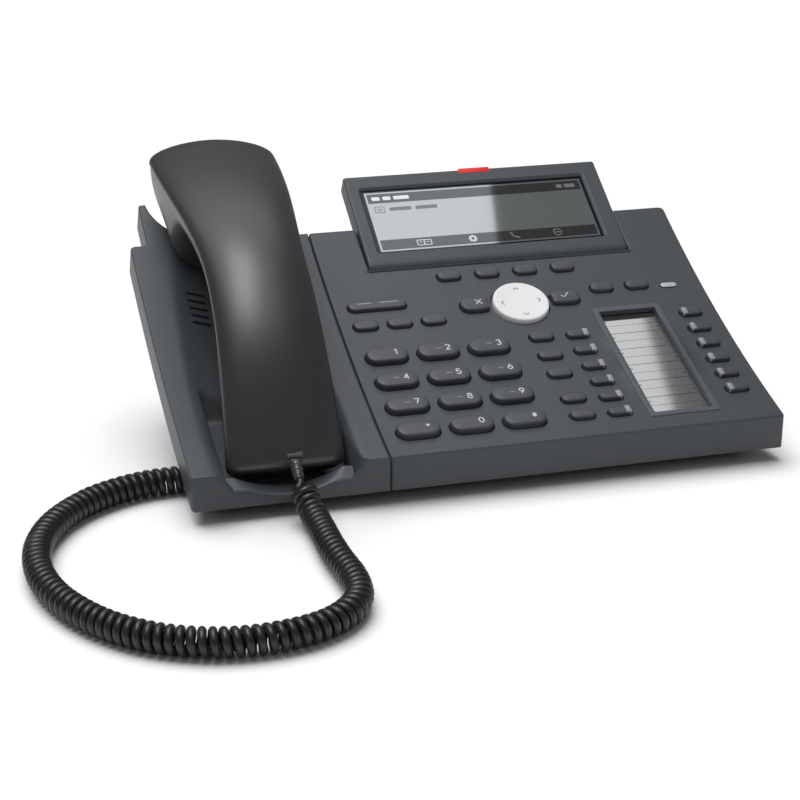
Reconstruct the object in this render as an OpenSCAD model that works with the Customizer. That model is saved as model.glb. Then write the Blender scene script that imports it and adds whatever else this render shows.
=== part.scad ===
// Desk telephone with a curly-cord handset, a tilting display and a keypad.
// All work is done in a working frame: x = 0 at the seam between the cradle
// and the key panel, y = 0 and z = 0 at the front top edge. place() moves it
// so that the origin is at the bottom centre, on the desk.

/* [Housing] */
// Width of the cradle section, left of the seam
cradle_w = 80.4; // [79:0.1:82]
// Width of the key panel section, right of the seam
panel_w = 172.2; // [171:0.1:175]
// Radius of the hollow curve of the top, front to back
curve_r = 613.7; // [600:0.1:630]
// Slope of the top at its front edge, in degrees
front_slope = 15.844; // [15:0.001:17]
// Length of the top, measured along its curve
top_len = 147.2; // [147:0.1:149]
// Depth of the slab-shaped housing, top to underside
slab_t = 13.8; // [13.6:0.1:14.4]
// Wall thickness of the covers
wall = 2.2; // [2:0.1:2.4]
// Height of the front top edge above the desk
front_h = 19.8; // [19.6:0.1:21]
// Thickness of the rubber feet
foot_t = 1.5; // [1:0.1:2]

/* [Handset] */
// Middle of the handset and of its cradle, from the seam
hs_x = -40.5; // [-41:0.1:-40]
// Width of the handset at the mouthpiece
w_mouth = 48.8; // [47:0.1:49]
// Width of the handset at the grip
w_grip = 42.3; // [40:0.1:44]
// Width of the handset at the earpiece
w_ear = 56.3; // [54:0.1:56.6]
// Wall thickness of the handset shells
hs_wall = 2.0; // [1.6:0.1:2.4]

/* [Display] */
// Width of the tilting display
disp_w = 123.4; // [120:0.1:124]
// Length of the display beyond its hinge axis
disp_len = 52.8; // [50:0.1:54]
// Thickness of the display
disp_t = 9; // [8.6:0.1:9]
// Angle of the display above the horizontal, in degrees
disp_a = 32.9; // [32:0.1:36]

/* [Keys] */
// Travel of a key
travel = 1.2; // [1:0.1:1.2]
// Gap round a key in its opening
key_gap = 0.35; // [0.3:0.05:0.45]
// Height of the number keys above the panel
num_h = 3; // [2.4:0.1:3.4]
// Height of the small keys above the panel
small_h = 1.9; // [1.4:0.1:2.2]
// Radius of the navigation disc
nav_r = 12.65; // [12:0.05:12.8]

/* [Cord] */
// Outer diameter of the curly cord
coil_d = 11.2; // [10:0.1:11.4]

/* [Hidden] */

fine = 96;
cy = -curve_r * sin(front_slope);
cz = curve_r * cos(front_slope);
function th(s) = front_slope + s / curve_r * 180 / PI;
function sy(s) = cy + curve_r * sin(th(s));
function sz(s) = cz - curve_r * cos(th(s));

// the whole part is moved so that the origin is the bottom centre
mid_x = (panel_w - cradle_w) / 2;
mid_y = 82.13;
module place() translate([-mid_x, -mid_y, front_h]) children();

// local frame on the curved top: x right, y up the slope, z outward
module on_top(x, s, h = 0)
  translate([x, sy(s) - h * sin(th(s)), sz(s) + h * cos(th(s))]) rotate([th(s), 0, 0]) children();

// sweeps a side profile (y, z) from x0 to x1
module across(x0, x1) translate([x0, 0, 0]) rotate([90, 0, 90]) linear_extrude(x1 - x0) children();

// band of the side profile between two depths and two positions on the curve
module band(h0, h1, s0, s1)
  translate([cy, cz]) intersection() {
    difference() { circle(r = curve_r - h0, $fn = 720); circle(r = curve_r - h1, $fn = 720); }
    polygon([[0, 0], [2000 * sin(th(s0)), -2000 * cos(th(s0))], [2000 * sin(th(s1)), -2000 * cos(th(s1))]]);
  }

// slab profile with an upright front at y = y0
module slab(h0, h1, y0, s1)
  intersection() { band(h0, h1, -20, s1); translate([y0, -60]) square([400, 400]); }

module pill2(l, w) {
  r = w / 2;
  square([l - w, w], center = true);
  for (k = [-1, 1]) translate([k * (l - w) / 2, 0]) circle(r = r, $fn = 48);
}

// ---------- key layout: x and distance up the curve ----------
num_x = [15.46, 38.26, 61.06];
num_s = [63.74, 47.25, 30.77, 14.29];
soft_x = [56.67, 74.61, 92.55, 110.49];
soft_s = 112.1;
bar_p = [19.7, 96.9];
list_x = [11.52, 26.84, 42.16];
list_s = 84.57;
nav_p = [83.72, 90.27];
side_p = [[86.2, 67.6], [86.2, 55], [86.2, 42.5]];
lower_p = [[86.4, 25.3], [86.4, 13.8]];
upper_p = [[124.1, 96.3], [141, 96.3]];
lamp_p = [155.9, 94.5];
fn_pitch = 10.718;
function fn_p(i) = i < 6 ? [102.75, 66.89 - i * fn_pitch] : [159.3, 74.79 - (i - 6) * fn_pitch];
label_c = [130.75, 45.75];
label_w = 26.5;
label_l = 69.5;

module num_2d(o = 0) pill2(18.4 + 2 * o, 9 + 2 * o);
module small_2d(o = 0) pill2(11 + 2 * o, 5.5 + 2 * o);
module bar_2d(o = 0) pill2(26.4 + 2 * o, 5.5 + 2 * o);
module fn_2d(o = 0) pill2(10.4 + 2 * o, 4.5 + 2 * o);
module cancel_2d(o = 0)
  difference() { pill2(19 + 2 * o, 8.6 + 2 * o); translate([nav_p[0] - 65.6, nav_p[1] - 91.6]) circle(r = 14.9 - o, $fn = fine); }
module ok_2d(o = 0)
  difference() { pill2(19 + 2 * o, 7.6 + 2 * o); translate([nav_p[0] - 102.4, nav_p[1] - 91.2]) circle(r = 14.9 - o, $fn = fine); }

// cap of a key with the retaining flange under the panel
module key_cap(x, s, top, flange = 0.8)
  on_top(x, s) {
    translate([0, 0, -2.6]) linear_extrude(top + 2.6) children(0);
    translate([0, 0, -3.5]) linear_extrude(1) children(1);
  }
module key_hole(x, s) on_top(x, s, -4) linear_extrude(9) children();

// ---------- screw positions ----------
screws_panel = [[164, 8], [165.5, 138], [5.5, 75], [6.5, 138]];
screws_cradle = [[-75, 8], [-75, 138], [-6.5, 75], [-6.5, 138]];

// ---------- display hinge ----------
hinge_s = 124.6;
hinge_h = -3.6;
hy = sy(hinge_s) - hinge_h * sin(th(hinge_s));
hz = sz(hinge_s) + hinge_h * cos(th(hinge_s));
disp_x0 = 22.3;
disp_x1 = disp_x0 + disp_w;
disp_r = disp_t / 2;
// display frame: origin on the hinge axis, y up the display, z out of its face
module on_disp() translate([0, hy, hz]) rotate([disp_a, 0, 0]) children();

// ---------- cradle dish: an arc through three depths ----------
dish_r = 46.7;
function pt(s, h) = [sy(s) - h * sin(th(s)), sz(s) + h * cos(th(s))];
da = pt(0, -10.5);
db = pt(75, -9);
dc = pt(147, -4);
function circ(a, b, c) = let(
  d = 2 * (a[0] * (b[1] - c[1]) + b[0] * (c[1] - a[1]) + c[0] * (a[1] - b[1])),
  a2 = a * a, b2 = b * b, c2 = c * c)
  [(a2 * (b[1] - c[1]) + b2 * (c[1] - a[1]) + c2 * (a[1] - b[1])) / d,
   (a2 * (c[0] - b[0]) + b2 * (a[0] - c[0]) + c2 * (b[0] - a[0])) / d];
dish_c = circ(da, db, dc);
dish_big = norm(dish_c - da);
// solid of the dish, o = how far it is grown
module dish(o = 0)
  translate([hs_x, dish_c[0], dish_c[1]]) rotate([0, 90, 0])
    rotate([0, 0, 0]) intersection() {
      rotate_extrude($fn = 720) intersection() {
        translate([dish_big - dish_r, 0]) circle(r = dish_r + o, $fn = 180);
        translate([dish_big - 16, -40]) square([40, 80]);
      }
      translate([dish_big * 0.5, -dish_big * 0.1, -40]) cube([dish_big, dish_big * 0.8, 80]);
    }
// pocket for the mouthpiece
module pocket_2d(o = 0) polygon([[5.2 - o, 12], [5.2 - o, -12.2 - o], [50 + o, 2.9 - o], [54 + o, 12], [56 + o, 34]]);
module pocket(o = 0) across(hs_x - 26 - o, hs_x + 26 + o) pocket_2d(o);
module well(o = 0) { dish(o); pocket(o); }

// earpiece notch in the rear fin
notch_r = 29.4;
notch_s = 176.6;
module fin_2d(o = 0)
  difference() {
    translate([hs_x - 32.3 + o, -25 ]) square([64.6 - 2 * o, 37.5 - o]);
    translate([0, notch_s - 160]) translate([hs_x, 0]) circle(r = notch_r + o, $fn = fine);
    // rounded outer corners of the horns
    for (k = [-1, 1]) translate([hs_x + k * (32.3 - o), 12.5 - o]) rotate([0, 0, 45]) square([3, 3], center = true);
  }
module fin_column(o = 0) on_top(0, 160, -40) linear_extrude(80) fin_2d(o);

module base_housing() color([0.2, 0.22, 0.25]) place() difference() {
  union() {
    // bottom plate between the cover walls
    across(-cradle_w + wall + 0.15, panel_w - wall - 0.15) slab(-slab_t, -slab_t + 2, wall + 0.15, top_len - wall - 0.15);
    // plate under the rear fin
    intersection() { across(-90, 10) band(-slab_t, -slab_t + 2, 140, 176); fin_column(wall + 0.15); }
    // deep pan at the front
    across(-71, 159) difference() {
      polygon([[7, 12], [7, -16.3], [9, -front_h + foot_t], [60, -front_h + foot_t], [62, -14], [66, 16]]);
      translate([cy, cz]) circle(r = curve_r + slab_t - 2, $fn = 720);
    }
    // loudspeaker pod
    across(-66, -15) band(-25, -slab_t + 2, 82, 130);
  }
  // inside of the pan, open to the housing
  across(-69, 157) polygon([[9, 20], [9, -15.9], [9.6, -front_h + foot_t + 2], [58.6, -front_h + foot_t + 2], [60, -13.6], [63.6, 22]]);
  // inside of the pod
  across(-64, -17) band(-23, -slab_t + 4, 84, 128);
  // screw holes, countersunk from below
  for (p = concat(screws_panel, screws_cradle)) on_top(p[0], p[1], -slab_t - 1) {
    cylinder(r = 1.6, h = 4, $fn = 32);
    cylinder(r = 2.9, h = 2.2, $fn = 32);
  }
  // socket openings in the rear wall of the pan: two network, one power
  for (x = [20, 40]) translate([x - 6, 54, -13.6]) cube([12, 14, 9]);
  translate([64, 54, -9]) rotate([-90, 0, 0]) cylinder(r = 4, h = 14, $fn = 48);
  // handset socket opening in the left wall of the pan
  translate([-74, 31, -18]) cube([8, 8.4, 10]);
  // room for the mouthpiece pocket of the cover
  across(-69, -12) pocket_2d(wall + 0.25);
  // fixing slots for the foot stand
  for (x = [-18, 120]) translate([x - 5, 123.6, 30]) cube([10, 2.6, 12]);
}

module boss(x, s) on_top(x, s, -slab_t + 2.1) difference() {
  cylinder(r = 3, h = slab_t - 2.1 - 1, $fn = 32);
  translate([0, 0, -1]) cylinder(r = 1.25, h = 8, $fn = 32);
}

module cradle_cover() color([0.22, 0.24, 0.27]) place() difference() {
  union() {
    difference() {
      union() {
        across(-cradle_w, -0.15) slab(-slab_t, 0, 0, top_len);
        intersection() { across(-90, 10) band(-slab_t, 0, 140, 176); fin_column(0); }
      }
      // hollow inside, kept a wall away from the well
      difference() {
        union() {
          across(-cradle_w + wall, -0.15 - 1.5) slab(-slab_t - 1, -wall, wall, top_len - wall);
          intersection() { across(-90, 10) band(-slab_t - 1, -wall, 142, 176); fin_column(wall); }
        }
        well(wall);
      }
    }
    // floor of the mouthpiece pocket, below the slab
    intersection() {
      difference() { pocket(wall); translate([-200, -10, 30]) cube([400, 400, 400]); }
      across(hs_x - 28.2, hs_x + 28.2) polygon([[2, -16], [2, 6], [62, 10], [62, 2]]);
    }
    for (p = screws_cradle) boss(p[0], p[1]);
  }
  well(0);
  // the seam wall stops above the bottom plate
  across(-3, 3) slab(-slab_t - 1, -slab_t + 2.1, wall, top_len - wall);
  // lowered, chamfered front lip
  across(hs_x - 26, hs_x + 26) polygon([[-1, -8.6], [5.3, -3.6], [5.3, 20], [-1, 20]]);
  // loudspeaker slots in the dish
  for (k = [-2 : 2]) for (x = [-16, 0, 16])
    on_top(hs_x + x, 109.3 + k * 4.3, -14) translate([x == 0 ? -8 : -4.2, -0.7, 0]) cube([x == 0 ? 16 : 8.4, 1.4, 16]);
  // opening for the hook switch
  on_top(hs_x, 135, -8) translate([-3.3, -5.3, 0]) cube([6.6, 10.6, 12]);
}

module disp_recess_2d(o = 0) {
  translate([hy, hz]) {
    circle(r = 4.9 + o, $fn = fine);
    rotate(disp_a - 5) polygon([[0, -4.8 - o], [60, -4.8 - o], [60, 40], [0, 40]]);
  }
}

module key_panel() color([0.22, 0.24, 0.27]) place() difference() {
  union() {
    difference() {
      across(0.15, panel_w) slab(-slab_t, 0, 0, top_len);
      across(0.15 + 1.5, panel_w - wall) slab(-slab_t - 1, -wall, wall, top_len - wall);
    }
    // tray that carries the display
    intersection() {
      across(disp_x0 - 3, disp_x1 + 3) slab(-slab_t + 2.1, 0, wall, top_len);
      across(disp_x0 - 3, disp_x1 + 3) disp_recess_2d(1.6);
    }
    for (p = screws_panel) boss(p[0], p[1]);
  }
  across(disp_x0 - 0.4, disp_x1 + 0.4) disp_recess_2d(0);
  // the seam wall stops above the bottom plate
  across(-3, 3) slab(-slab_t - 1, -slab_t + 2.1, wall, top_len - wall);
  // hinge bores
  translate([disp_x0 - 4, hy, hz]) rotate([0, 90, 0]) cylinder(r = 2.05, h = disp_w + 8, $fn = 64);
  for (i = [0 : 2]) for (j = [0 : 3]) key_hole(num_x[i], num_s[j]) num_2d(key_gap);
  for (x = soft_x) key_hole(x, soft_s) small_2d(key_gap);
  for (x = list_x) key_hole(x, list_s) small_2d(key_gap);
  for (p = concat(side_p, lower_p, upper_p)) key_hole(p[0], p[1]) small_2d(key_gap);
  for (i = [0 : 11]) key_hole(fn_p(i)[0], fn_p(i)[1]) fn_2d(key_gap);
  key_hole(bar_p[0], bar_p[1]) bar_2d(key_gap);
  key_hole(65.6, 91.6) cancel_2d(key_gap);
  key_hole(102.4, 91.2) ok_2d(key_gap);
  on_top(nav_p[0], nav_p[1], -4) cylinder(r = nav_r + 0.65, h = 9, $fn = fine);
  key_hole(lamp_p[0], lamp_p[1]) pill2(7.9, 3.2);
  // window for the paper label
  on_top(label_c[0], label_c[1], -6) translate([-label_w / 2, -label_l / 2, 0]) cube([label_w, label_l, 12]);
}

module display_bezel() color([0.22, 0.24, 0.27]) place() on_disp() difference() {
  translate([disp_x0, 0, 1.5]) cube([disp_w, disp_len, disp_r - 1.5]);
  // window
  translate([28.9, 5.8, 0]) cube([108.2, 38.6, 10]);
  // notch for the alert lamp
  translate([77.9, disp_len - 2.7, 0]) cube([15.5, 10, 10]);
}

module display_back_cover() color([0.18, 0.2, 0.22]) place() on_disp() difference() {
  union() {
    difference() {
      translate([disp_x0, 0, 0]) rotate([0, 90, 0]) cylinder(r = disp_r, h = disp_w, $fn = fine);
      translate([disp_x0 - 1, 0, 1.5]) cube([disp_w + 2, 20, 10]);
    }
    translate([disp_x0, 0, -disp_r]) cube([disp_w, disp_len, disp_r + 1.5]);
    // raised back beyond the housing
    across(disp_x0 + 14, disp_x1 - 14) polygon([[30, -4], [34, -8.5], [disp_len - 3, -8.5], [disp_len, -4]]);
    // hinge pins
    for (x = [disp_x0 - 2.6, disp_x1]) translate([x, 0, 0]) rotate([0, 90, 0]) cylinder(r = 2, h = 2.6, $fn = 64);
    translate([disp_x0 - 2.6, 0, 0]) rotate([0, 90, 0]) cylinder(r = 1.4, h = disp_w + 5.2, $fn = 32);
  }
  // room for the screen
  translate([disp_x0 + 2, 2, -disp_r + 1.8]) cube([disp_w - 4, disp_len - 4, 20]);
  translate([disp_x0 + 16, 34, -6.7]) cube([disp_w - 32, disp_len - 39, 20]);
  translate([77.9, disp_len - 2.7, 0]) cube([15.5, 10, 10]);
}

module lcd_module() color([0.75, 0.77, 0.78]) place() on_disp() {
  // panel with its frame
  translate([25.5, 3, -2.5]) cube([115, 45, 3.2]);
  // clear window in front of it
  difference() {
    translate([29.1, 6, 2.4]) cube([107.8, 38.2, 1.1]);
  }
  translate([26.4, 4.4, 0.9]) cube([113.2, 41.6, 0.5]);
}

module alert_lamp() color([0.85, 0.1, 0.08]) place() on_disp()
  translate([78.1, disp_len - 2.5, 0.2]) cube([15.1, 3.3, disp_r - 0.2]);

module stand_2d(o = 0) difference() {
  polygon([[92 + o * 1.2, 40], [92 + o * 1.2, 21], [110 + o * 1.1, -front_h + foot_t], [126 - o, -front_h + foot_t], [126 - o, 40]]);
  translate([cy, cz]) circle(r = curve_r + slab_t + 0.05, $fn = 720);
}
module foot_stand() color([0.16, 0.17, 0.19]) place() difference() {
  union() {
    across(-66, 156) stand_2d(0);
    // tabs that clip into the housing
    for (x = [-18, 120]) translate([x - 4.8, 123.8, 30]) cube([9.6, 2.2, 8.4]);
  }
  // open between its front and rear plates, up to the housing
  for (p = [[-64, 44], [46, 154]]) across(p[0], p[1])
    intersection() { stand_2d(2.2); translate([0, -front_h + foot_t + 2.2]) square([200, 80]); }
  // the loudspeaker pod reaches into it
  across(-67, -14) band(-26, -slab_t + 1, 80, 132);
}

module feet_and_screws() color([0.08, 0.08, 0.08]) place() {
  for (p = [[-56, 17], [146, 17], [-56, 118], [146, 118]])
    translate([p[0], p[1], -front_h]) cylinder(r = 5.5, h = foot_t, $fn = 48);
  for (p = concat(screws_panel, screws_cradle)) on_top(p[0], p[1], -slab_t + 0.1) {
    cylinder(r = 2.7, h = 1, $fn = 32);
    cylinder(r = 1.2, h = 7.4, $fn = 32);
  }
}

module hook_switch() color([0.12, 0.12, 0.13]) place() on_top(hs_x, 135, 0) {
  translate([-3, -5, -9.9]) cube([6, 10, 7]);
  translate([-4.6, -6.6, -10.4]) cube([9.2, 13.2, 0.65]);
}

// plane of the flat circuit board, under the middle of the key field
board_s = 63;
module on_board() on_top(0, board_s, -6.3) children();
module main_board() color([0.1, 0.35, 0.2]) place() {
  on_board() difference() {
    translate([2.6, -53, -1.6]) cube([164.4, 106, 1.6]);
    for (p = screws_panel) translate([p[0], p[1] - board_s, -3]) cylinder(r = 3.8, h = 6, $fn = 32);
  }
  // network sockets
  for (x = [20, 40]) difference() {
    translate([x - 8, 44, -16]) cube([16, 14.2, 13.5]);
    translate([x - 5.9, 46, -13.5]) cube([11.8, 14, 8.8]);
  }
  // power socket
  translate([64, 0, -9]) {
    difference() {
      translate([-5.5, 45, -5.5]) cube([11, 13.4, 11]);
      translate([0, 48, 0]) rotate([-90, 0, 0]) cylinder(r = 3.2, h = 14, $fn = 48);
    }
    translate([0, 47, 0]) rotate([-90, 0, 0]) cylinder(r = 1, h = 10, $fn = 24);
  }
  // handset socket
  difference() {
    translate([-66.8, 29.6, -16.2]) cube([15, 11.4, 9.6]);
    translate([-68, 31.4, -15.4]) cube([13, 7.8, 7.2]);
  }
  // loudspeaker: frame, magnet
  on_top(hs_x, 106, -22.6) { cylinder(r = 10, h = 6, $fn = 64); translate([0, 0, 6]) cylinder(r = 19, h = 3.2, $fn = 64); }
  // small board with the hook switch contact
  on_top(hs_x, 136, -11.5) translate([-12, -8, 0]) cube([24, 16, 1]);
  // light pipe of the message lamp
  on_top(lamp_p[0], lamp_p[1], -7.2) linear_extrude(7.5) pill2(7.7, 3);
}

module keypad_mat() color([0.3, 0.3, 0.32]) place() difference() {
  intersection() {
    across(2.6, 167) band(-20, -4.85, 9.5, 116.5);
    on_board() translate([0, -54, 0.02]) cube([200, 108, 30]);
  }
  for (p = screws_panel) on_top(p[0], p[1], -14) cylinder(r = 3.8, h = 14, $fn = 32);
  on_top(lamp_p[0], lamp_p[1], -9) linear_extrude(8) pill2(8.5, 3.8);
  on_top(label_c[0], label_c[1], -4.9) translate([-label_w / 2 - 1.6, -label_l / 2 - 1.6, 0]) cube([label_w + 3.2, label_l + 3.2, 8]);
}

module label_insert() color([0.85, 0.86, 0.86]) place() on_top(label_c[0], label_c[1], 0) {
  translate([-label_w / 2 - 1, -label_l / 2 - 1, -4.4]) cube([label_w + 2, label_l + 2, 0.5]);
  translate([-label_w / 2 + 0.2, -label_l / 2 + 0.2, -3.9]) cube([label_w - 0.4, label_l - 0.4, 2.4]);
}

// ---------- keys ----------
key_col = [0.24, 0.26, 0.29];
module num_key(k) color(key_col) place()
  key_cap(num_x[k % 3], num_s[floor(k / 3)], num_h) { num_2d(0); num_2d(0.8); }
module small_key(x, s) color(key_col) place() key_cap(x, s, small_h) { small_2d(0); small_2d(0.8); }
module bar_key() color(key_col) place() key_cap(bar_p[0], bar_p[1], small_h) { bar_2d(0); bar_2d(0.8); }
module cancel_key() color(key_col) place() key_cap(65.6, 91.6, 2.4) { cancel_2d(0); cancel_2d(0.3); }
module ok_key() color(key_col) place() key_cap(102.4, 91.2, 2.4) { ok_2d(0); ok_2d(0.3); }
module nav_disc() color([0.93, 0.93, 0.94]) place() on_top(nav_p[0], nav_p[1]) {
  translate([0, 0, -3.4]) cylinder(r = nav_r, h = 5.6, $fn = fine);
  translate([0, 0, -4.2]) cylinder(r = 14, h = 0.8, $fn = fine);
  // rocking pin under the disc
  translate([-11, 0, -4]) rotate([0, 90, 0]) cylinder(r = 0.75, h = 22, $fn = 32);
}
module function_key(i) color(key_col) place() key_cap(fn_p(i)[0], fn_p(i)[1], small_h) { fn_2d(0); fn_2d(0.6); }

// ---------- handset ----------
// parting line: a cubic from the mouth end to the ear end, in (y, z)
hp = [[9.8, -4.5], [34.1, 62.8], [60.1, 77.7], [159.9, 91.3]];
function bz(t) = pow(1 - t, 3) * hp[0] + 3 * pow(1 - t, 2) * t * hp[1] + 3 * (1 - t) * t * t * hp[2] + pow(t, 3) * hp[3];
function dbz(t) = 3 * pow(1 - t, 2) * (hp[1] - hp[0]) + 6 * (1 - t) * t * (hp[2] - hp[1]) + 3 * t * t * (hp[3] - hp[2]);
function nrm(t) = let(d = dbz(t) / norm(dbz(t))) [-d[1], d[0]];
// inner line, facing the cradle: [t, y, z]
hq = [[0, 13, -8.2], [0.05, 24, -5], [0.1, 35, -1.3], [0.15, 45, 2.2], [0.2, 50.5, 9], [0.25, 49.8, 22],
      [0.3, 48.4, 32], [0.35, 48.7, 39.8], [0.4, 52, 46.2], [0.5, 62.4, 54.2], [0.6, 75.3, 61], [0.7, 91.6, 65.8],
      [0.76, 103, 67], [0.8, 112, 63], [0.83, 117, 54], [0.86, 122, 46.7], [0.9, 132, 52.2], [0.95, 144.5, 59.1], [1, 157, 66]];
function qat(t, i = 0) = (i >= len(hq) - 2 || t < hq[i + 1][0])
  ? let(a = hq[i], b = hq[i + 1], u = (t - a[0]) / (b[0] - a[0])) [a[1] + (b[1] - a[1]) * u, a[2] + (b[2] - a[2]) * u]
  : qat(t, i + 1);
grip_t = 0.49;
function hw(t) = t < grip_t ? w_grip + (w_mouth - w_grip) * pow((grip_t - t) / grip_t, 2)
  : w_grip + (w_ear - w_grip) * pow(sin(90 * (t - grip_t) / (1 - grip_t)), 2);
function clamp(v) = max(0, min(1, v));
function ear_q(t) = clamp(1 - (1 - t) * 292 / 16);
function mouth_q(t) = clamp(1 - t * 214 / 5);
function half_w(t) = hw(t) / 2 * max(0.3, pow(max(0, 1 - pow(ear_q(t), 3)), 1 / 3)) * (0.86 + 0.14 * pow(max(0, 1 - pow(mouth_q(t), 3)), 1 / 3));
function crown_f(t) = max(0.12, pow(max(0, 1 - pow(ear_q(t), 2.5)), 0.4)) * max(0.3, pow(max(0, 1 - pow(mouth_q(t), 3)), 1 / 3));
hs_t = concat([0, 0.004, 0.012, 0.023], [for (k = [1 : 20]) 0.023 + (0.945 - 0.023) * k / 20], [0.96, 0.972, 0.982, 0.99, 0.996, 1]);
hs_ti = [for (k = [0 : 19]) 0.031 + (0.958 - 0.031) * k / 19];
xis = [for (k = [-6 : 6]) sin(15 * k)];
function outer_h(t, x) = (3.2 + 5.65 * (1 - x * x)) * pow(max(0, 1 - pow(abs(x), 9)), 1 / 3) * crown_f(t);
function inner_d(t, x) = norm(qat(t) - bz(t)) * pow(max(0, 1 - pow(abs(x), 3.5)), 0.45);
function inner_dir(t) = (qat(t) - bz(t)) / norm(qat(t) - bz(t));
// one section as 3-D points; dir is the side it bulges to
function sec(t, a, hh, dir, base) = [for (j = [0 : len(xis) - 1])
  let(p = bz(t) + dir * (j == 0 || j == len(xis) - 1 ? base : max(base, hh[j]))) [hs_x + a * xis[j], p[0], p[1]]];
module loft(secs) {
  n = len(secs); m = len(secs[0]);
  polyhedron(points = [for (s = secs) for (p = s) p],
    faces = concat(
      [[for (j = [0 : m - 1]) j]],
      [[for (j = [m - 1 : -1 : 0]) (n - 1) * m + j]],
      [for (i = [0 : n - 2]) for (j = [0 : m - 1]) [i * m + j, (i + 1) * m + j, (i + 1) * m + (j + 1) % m]],
      [for (i = [0 : n - 2]) for (j = [0 : m - 1]) [i * m + j, (i + 1) * m + (j + 1) % m, i * m + (j + 1) % m]]));
}
// socket for the cord's plug, through the bottom end
plug_y = 3;
plug_z = 0.2;
module on_plug() translate([-38, plug_y, plug_z]) rotate([-50, 0, 0]) children();

module handset_outer_shell() color([0.1, 0.105, 0.115]) place() difference() {
  loft([for (t = hs_t) sec(t, half_w(t), [for (x = xis) outer_h(t, x)], nrm(t), 0)]);
  loft([for (t = hs_ti) sec(t, half_w(t) - hs_wall, [for (x = xis) outer_h(t, x) - hs_wall], nrm(t), -1)]);
  on_plug() translate([-4.2, -3.7, -6]) cube([8.4, 7.4, 22]);
}
module handset_inner_shell() color([0.1, 0.105, 0.115]) place() {
  difference() {
    mirror([0, 0, 0]) loft([for (t = [for (k = [len(hs_t) - 1 : -1 : 0]) hs_t[k]]) sec(t, half_w(t) - 0.4, [for (x = xis) inner_d(t, x)], inner_dir(t), 0)]);
    loft([for (t = [for (k = [len(hs_ti) - 1 : -1 : 0]) hs_ti[k]]) sec(t, half_w(t) - 0.4 - hs_wall, [for (x = xis) inner_d(t, x) - hs_wall], inner_dir(t), -1)]);
    on_plug() translate([-4.2, -3.7, -6]) cube([8.4, 7.4, 22]);
  }
  // receiver capsule in the ear cup, microphone in the mouth cup
  translate([hs_x, 134, 59.5]) rotate([29, 0, 0]) cylinder(r = 15, h = 7, $fn = 48);
  translate([hs_x, 34, 3]) rotate([19, 0, 0]) cylinder(r = 5, h = 5, $fn = 48);
}
module handset_plug() color([0.15, 0.15, 0.16]) place() on_plug() {
  translate([-3.8, -3.3, 1.5]) cube([7.6, 6.6, 11.5]);
  translate([0, 0, -7]) cylinder(r = 2.6, h = 9, $fn = 32);
}

// ---------- curly cord ----------
cord_z = -front_h + coil_d / 2;
cord_pts = [[-38, -3.2, -4.2], [-37.4, -7, -7], [-36.6, -11.5, -10.8], [-35.8, -17, -13.4], [-35.6, -24, cord_z], [-35.8, -34, cord_z],
  [-36.2, -46, cord_z], [-36, -58, cord_z], [-35.3, -70, cord_z], [-35.6, -81, cord_z], [-37.8, -91, cord_z], [-43.5, -100, cord_z],
  [-53, -107.2, cord_z], [-65, -111.4, cord_z], [-79, -112.6, cord_z], [-93, -110.6, cord_z], [-106, -105, cord_z], [-117.5, -96.6, cord_z],
  [-127.5, -85, cord_z], [-135.6, -70.6, cord_z], [-141.2, -54, cord_z], [-143.4, -36, cord_z], [-141.8, -18, cord_z], [-136.4, -2, cord_z],
  [-127.6, 12, cord_z], [-116.4, 23, cord_z], [-104, 30.4, cord_z], [-92, 34.2, cord_z], [-82, 35.2, cord_z], [-72.6, 35.2, cord_z]];
function unit(v) = v / norm(v);
function tang(i) = unit(cord_pts[min(i + 1, len(cord_pts) - 1)] - cord_pts[max(i - 1, 0)]);
module handset_cord() color([0.07, 0.07, 0.07]) place() {
  m = 12;
  secs = [for (i = [0 : len(cord_pts) - 1])
    let(t = tang(i), side = unit(cross(t, [0, 0, 1])), up = cross(side, t))
    [for (k = [0 : m - 1]) cord_pts[i] + coil_d / 2 * (i == 0 ? 0.75 : 1) * (cos(360 * k / m + 15) * side + sin(360 * k / m + 15) * up)]];
  loft(secs);
}
module base_plug() color([0.6, 0.62, 0.65]) place() {
  translate([-68.6, 31.6, -15.2]) cube([12.2, 7.4, 6.8]);
  translate([-72.4, 35.2, -14.2 + 2]) rotate([0, 90, 0]) cylinder(r = 2.4, h = 3.8, $fn = 32);
}

base_housing();
cradle_cover();
key_panel();
display_bezel();
display_back_cover();
lcd_module();
alert_lamp();
foot_stand();
feet_and_screws();
hook_switch();
main_board();
keypad_mat();
label_insert();
handset_outer_shell();
handset_inner_shell();
handset_cord();
handset_plug();
base_plug();
num_key(0);  // key_1
num_key(1);  // key_2
num_key(2);  // key_3
num_key(3);  // key_4
num_key(4);  // key_5
num_key(5);  // key_6
num_key(6);  // key_7
num_key(7);  // key_8
num_key(8);  // key_9
num_key(9);  // key_star
num_key(10);  // key_0
num_key(11);  // key_hash
small_key(soft_x[0], soft_s);  // soft_key_1
small_key(soft_x[1], soft_s);  // soft_key_2
small_key(soft_x[2], soft_s);  // soft_key_3
small_key(soft_x[3], soft_s);  // soft_key_4
bar_key();
small_key(list_x[0], list_s);  // list_key_1
small_key(list_x[1], list_s);  // list_key_2
small_key(list_x[2], list_s);  // list_key_3
cancel_key();
ok_key();
nav_disc();
small_key(upper_p[0][0], upper_p[0][1]);  // upper_key_1
small_key(upper_p[1][0], upper_p[1][1]);  // upper_key_2
small_key(side_p[0][0], side_p[0][1]);  // side_key_1
small_key(side_p[1][0], side_p[1][1]);  // side_key_2
small_key(side_p[2][0], side_p[2][1]);  // side_key_3
small_key(lower_p[0][0], lower_p[0][1]);  // lower_key_1
small_key(lower_p[1][0], lower_p[1][1]);  // lower_key_2
function_key(0);  // function_key_1
function_key(1);  // function_key_2
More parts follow.
